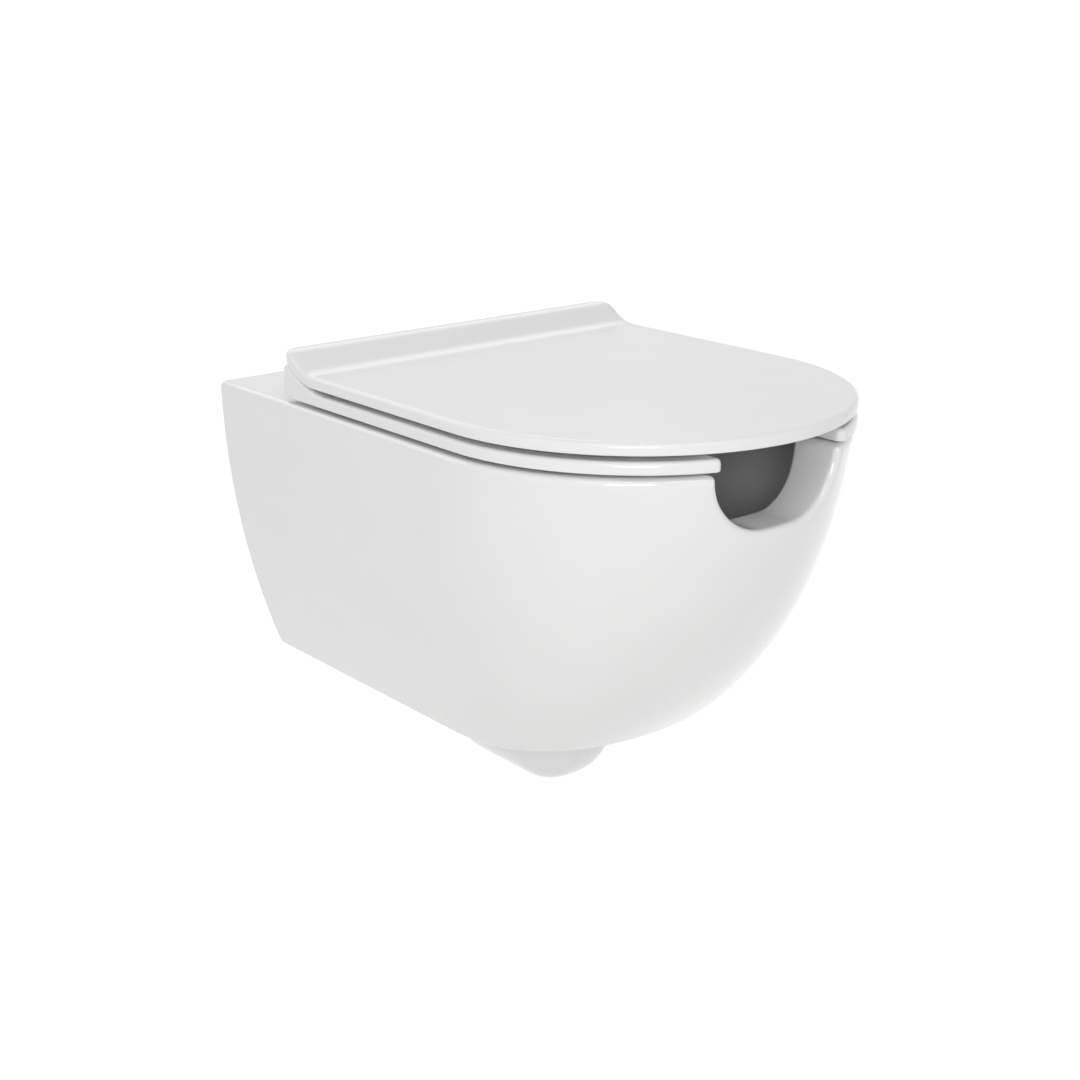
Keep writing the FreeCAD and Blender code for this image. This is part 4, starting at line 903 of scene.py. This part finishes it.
slotLow, slotHigh = deckZ - 5, deckZ + 60  # from below the seat to above it
slotView = np.array([(seatShape["slotFront"], slotLow), (seatShape["slotRear"], slotLow),
                     (seatShape["slotRear"], slotHigh), (seatShape["slotFront"], slotHigh)])
round48 = np.linspace(0, 2 * math.pi, 49)[:-1]
pocketView = np.stack([axis["y"] + hinge["pocket"] * np.cos(round48),
                       hingeZ + hinge["pocket"] * np.sin(round48)], -1)
slotOuter = seatShape["slotOuter"]
seatCuts, lidCuts = [], []
for sign in (-1, 1):
    seatCuts.append(alongX(sign * seatShape["slotInner"], sign * slotOuter, slotView))
    seatCuts.append(alongX(sign * (slotOuter - 1), sign * (slotOuter + hinge["pocketLength"]), pocketView))
    postLow, postHigh = hinge["postInner"] - hinge["margin"], hinge["postOuter"] + hinge["margin"]
    lidCuts.append(alongX(sign * postLow, sign * postHigh, armAway(hinge["opening"])))
cutAway(seatPiece, seatCuts)
cutAway(lidPiece, lidCuts)
print("lid and seat made")

lug = dict(inner=44.5, outer=67.0, radius=9.2, pocket=6.5, pocketDepth=20.0, bevel=0.8, pocketBevel=0.3, top=33.9,
           columns=64)


def makeLugs():
    # each lug is a U-shaped section carried along X with bevelled ends and a round pocket for the pin's bush
    beta = np.linspace(0, 2 * math.pi, lug["columns"] + 1)[:-1]
    reach = lug["top"] - axis["height"]
    y = lug["radius"] * np.cos(beta)
    z = np.where(np.sin(beta) < 0, lug["radius"] * np.sin(beta), 0.0)
    upper = np.sin(beta) > 0
    steep = np.minimum(lug["radius"] / np.maximum(np.abs(np.cos(beta)), 1e-6),
                       reach / np.maximum(np.sin(beta), 1e-6))
    y, z = np.where(upper, steep * np.cos(beta), y), np.where(upper, steep * np.sin(beta), z)
    small = 1 - lug["bevel"] / lug["radius"]
    pocketStart = lug["outer"] - lug["pocketDepth"]
    outside = [(0.0, lug["inner"]), (small, lug["inner"]), (1.0, lug["inner"] + lug["bevel"]),
               (1.0, lug["outer"] - lug["bevel"]), (small, lug["outer"])]
    r, bevel = lug["pocket"], lug["pocketBevel"]
    pocket = [(r + bevel, lug["outer"]), (r, lug["outer"] - bevel), (r, pocketStart), (0.0, pocketStart)]
    patches = []
    for sign in (-1, 1):
        rows = [stack(sign * x, axis["y"] + y * scale, hingeZ + z * scale) for scale, x in outside]
        rows += [stack(sign * x, axis["y"] + radius * np.cos(beta), hingeZ + radius * np.sin(beta))
                 for radius, x in pocket]
        patches.append((np.stack(rows), True))
    return meshFrom("lidLugs", patches)


addPiece(makeLugs(), "lid", lidFinish)


# carried pieces are welded, then split at real edges so that round faces shade smoothly
slotOf = {entry["node"]: entry["material_slot"] for entry in frame["record"]["subparts"]}
for name, node in cadNodes.items():
    node.data.materials.clear()
    node.data.materials.append(finishes[slotOf[name]])
    if name in ("pan", "seat", "lid"):
        continue
    node.data.shade_smooth()
    weld = node.modifiers.new("weld", "WELD")
    weld.merge_threshold = same / 2
    split = node.modifiers.new("split", "EDGE_SPLIT")
    split.split_angle = math.radians(30)
print("carried nodes finished")


shot = dict(azimuth=-40.274, elevation=18.158, distance=1527.49, target=(0.688, -250.922, -49.113),
            focalPixels=1772.71, framePixels=1080, centreX=564.158, centreY=546.77)


def awayFrom(azimuth, elevation):  # direction of the camera or a lamp, seen from the object
    turn, tilt = math.radians(azimuth), math.radians(elevation)
    return Vector((math.sin(turn) * math.cos(tilt), -math.cos(turn) * math.cos(tilt), math.sin(tilt)))


def aimBack(thing, direction):  # turns a camera or lamp to look back along this direction
    thing.rotation_mode = "QUATERNION"
    thing.rotation_quaternion = (-direction).to_track_quat("-Z", "Y")


camera = placed("camera", bpy.data.cameras.new("camera"))
scene.camera = camera
back = awayFrom(shot["azimuth"], shot["elevation"])
camera.location = (Vector(shot["target"]) + back * shot["distance"]) * mm
aimBack(camera, back)
camera.data.sensor_width = 36.0
camera.data.lens = shot["focalPixels"] / shot["framePixels"] * camera.data.sensor_width
camera.data.shift_x = -(shot["centreX"] - shot["framePixels"] / 2) / shot["framePixels"]
camera.data.shift_y = (shot["centreY"] - shot["framePixels"] / 2) / shot["framePixels"]


middle = Vector((0.0, -0.26, -0.05))
# each lamp: direction from the object, distance, size in metres, power
lamps = dict(
    keySoft=dict(azimuth=-30.0, elevation=50.0, distance=2.4, width=2.2, height=0.5, watts=8.0),
    frontSoft=dict(azimuth=-40.0, elevation=17.0, distance=2.3, width=0.8, height=0.6, watts=13.5),
    leftSoft=dict(azimuth=-100.0, elevation=38.0, distance=2.4, width=1.6, height=0.9, watts=1.5),
    backSoft=dict(azimuth=178.0, elevation=40.0, distance=2.4, width=4.0, height=0.9, watts=9.0),
)
ambientStrength = 0.55

for name, look in lamps.items():
    light = bpy.data.lights.new(name, "AREA")
    light.shape = "RECTANGLE"
    light.size, light.size_y = look["width"], look["height"]
    light.energy = look["watts"]
    lamp = placed(name, light)
    direction = awayFrom(look["azimuth"], look["elevation"])
    lamp.location = middle + direction * look["distance"]
    aimBack(lamp, direction)


def seenRays(tree):  # 1 for what the camera, a gloss or clear glass sees
    ways = newNode(tree, "LightPath")
    seen = mathNode(tree, "MAXIMUM", ways.outputs["Is Camera Ray"], ways.outputs["Is Glossy Ray"])
    return mathNode(tree, "MAXIMUM", seen, ways.outputs["Is Transmission Ray"])


def mixShaders(tree, factor, first, second):
    node = newNode(tree, "MixShader")
    for socket, value in zip(node.inputs, (factor, first, second)):
        feed(tree, socket, value)
    return node.outputs[0]


world = bpy.data.worlds.new("studio")
scene.world = world
world.use_nodes = True
tree = world.node_tree
tree.nodes.clear()
backgrounds = [newNode(tree, "Background", Color=(1, 1, 1, 1), Strength=strength).outputs[0]
               for strength in (ambientStrength, 1.0)]
newNode(tree, "OutputWorld", Surface=mixShaders(tree, seenRays(tree), *backgrounds))

# the floor lies at the usual height under a pan on the wall; seen directly, half of it shows white and
# half its own lit colour, so it fades into the background and keeps the shadow
floor = dict(z=-0.33, half=60.0, albedo=(0.86, 0.86, 0.855), glow=1.6, glowShare=0.5)
floorMaterial = bpy.data.materials.new("paleFloor")
floorMaterial.use_nodes = True
tree = floorMaterial.node_tree
tree.nodes.clear()
matte = newNode(tree, "BsdfDiffuse", Color=(*floor["albedo"], 1)).outputs[0]
glow = newNode(tree, "Emission", Strength=floor["glow"]).outputs[0]
topSide = mixShaders(tree, seenRays(tree), matte, mixShaders(tree, floor["glowShare"], matte, glow))
fromBelow = newNode(tree, "NewGeometry").outputs["Backfacing"]  # clear, so the underside can be seen
clear = newNode(tree, "BsdfTransparent").outputs[0]
newNode(tree, "OutputMaterial", Surface=mixShaders(tree, fromBelow, topSide, clear))
reach = floor["half"]
floorMesh = bpy.data.meshes.new("floor")
corners = [(x * reach, y * reach, floor["z"]) for x, y in ((-1, -1), (1, -1), (1, 1), (-1, 1))]
floorMesh.from_pydata(corners, [], [(0, 1, 2, 3)])
floorMesh.materials.append(floorMaterial)
placed("floor", floorMesh)

scene.view_settings.view_transform = "Standard"
print("camera and lights placed")
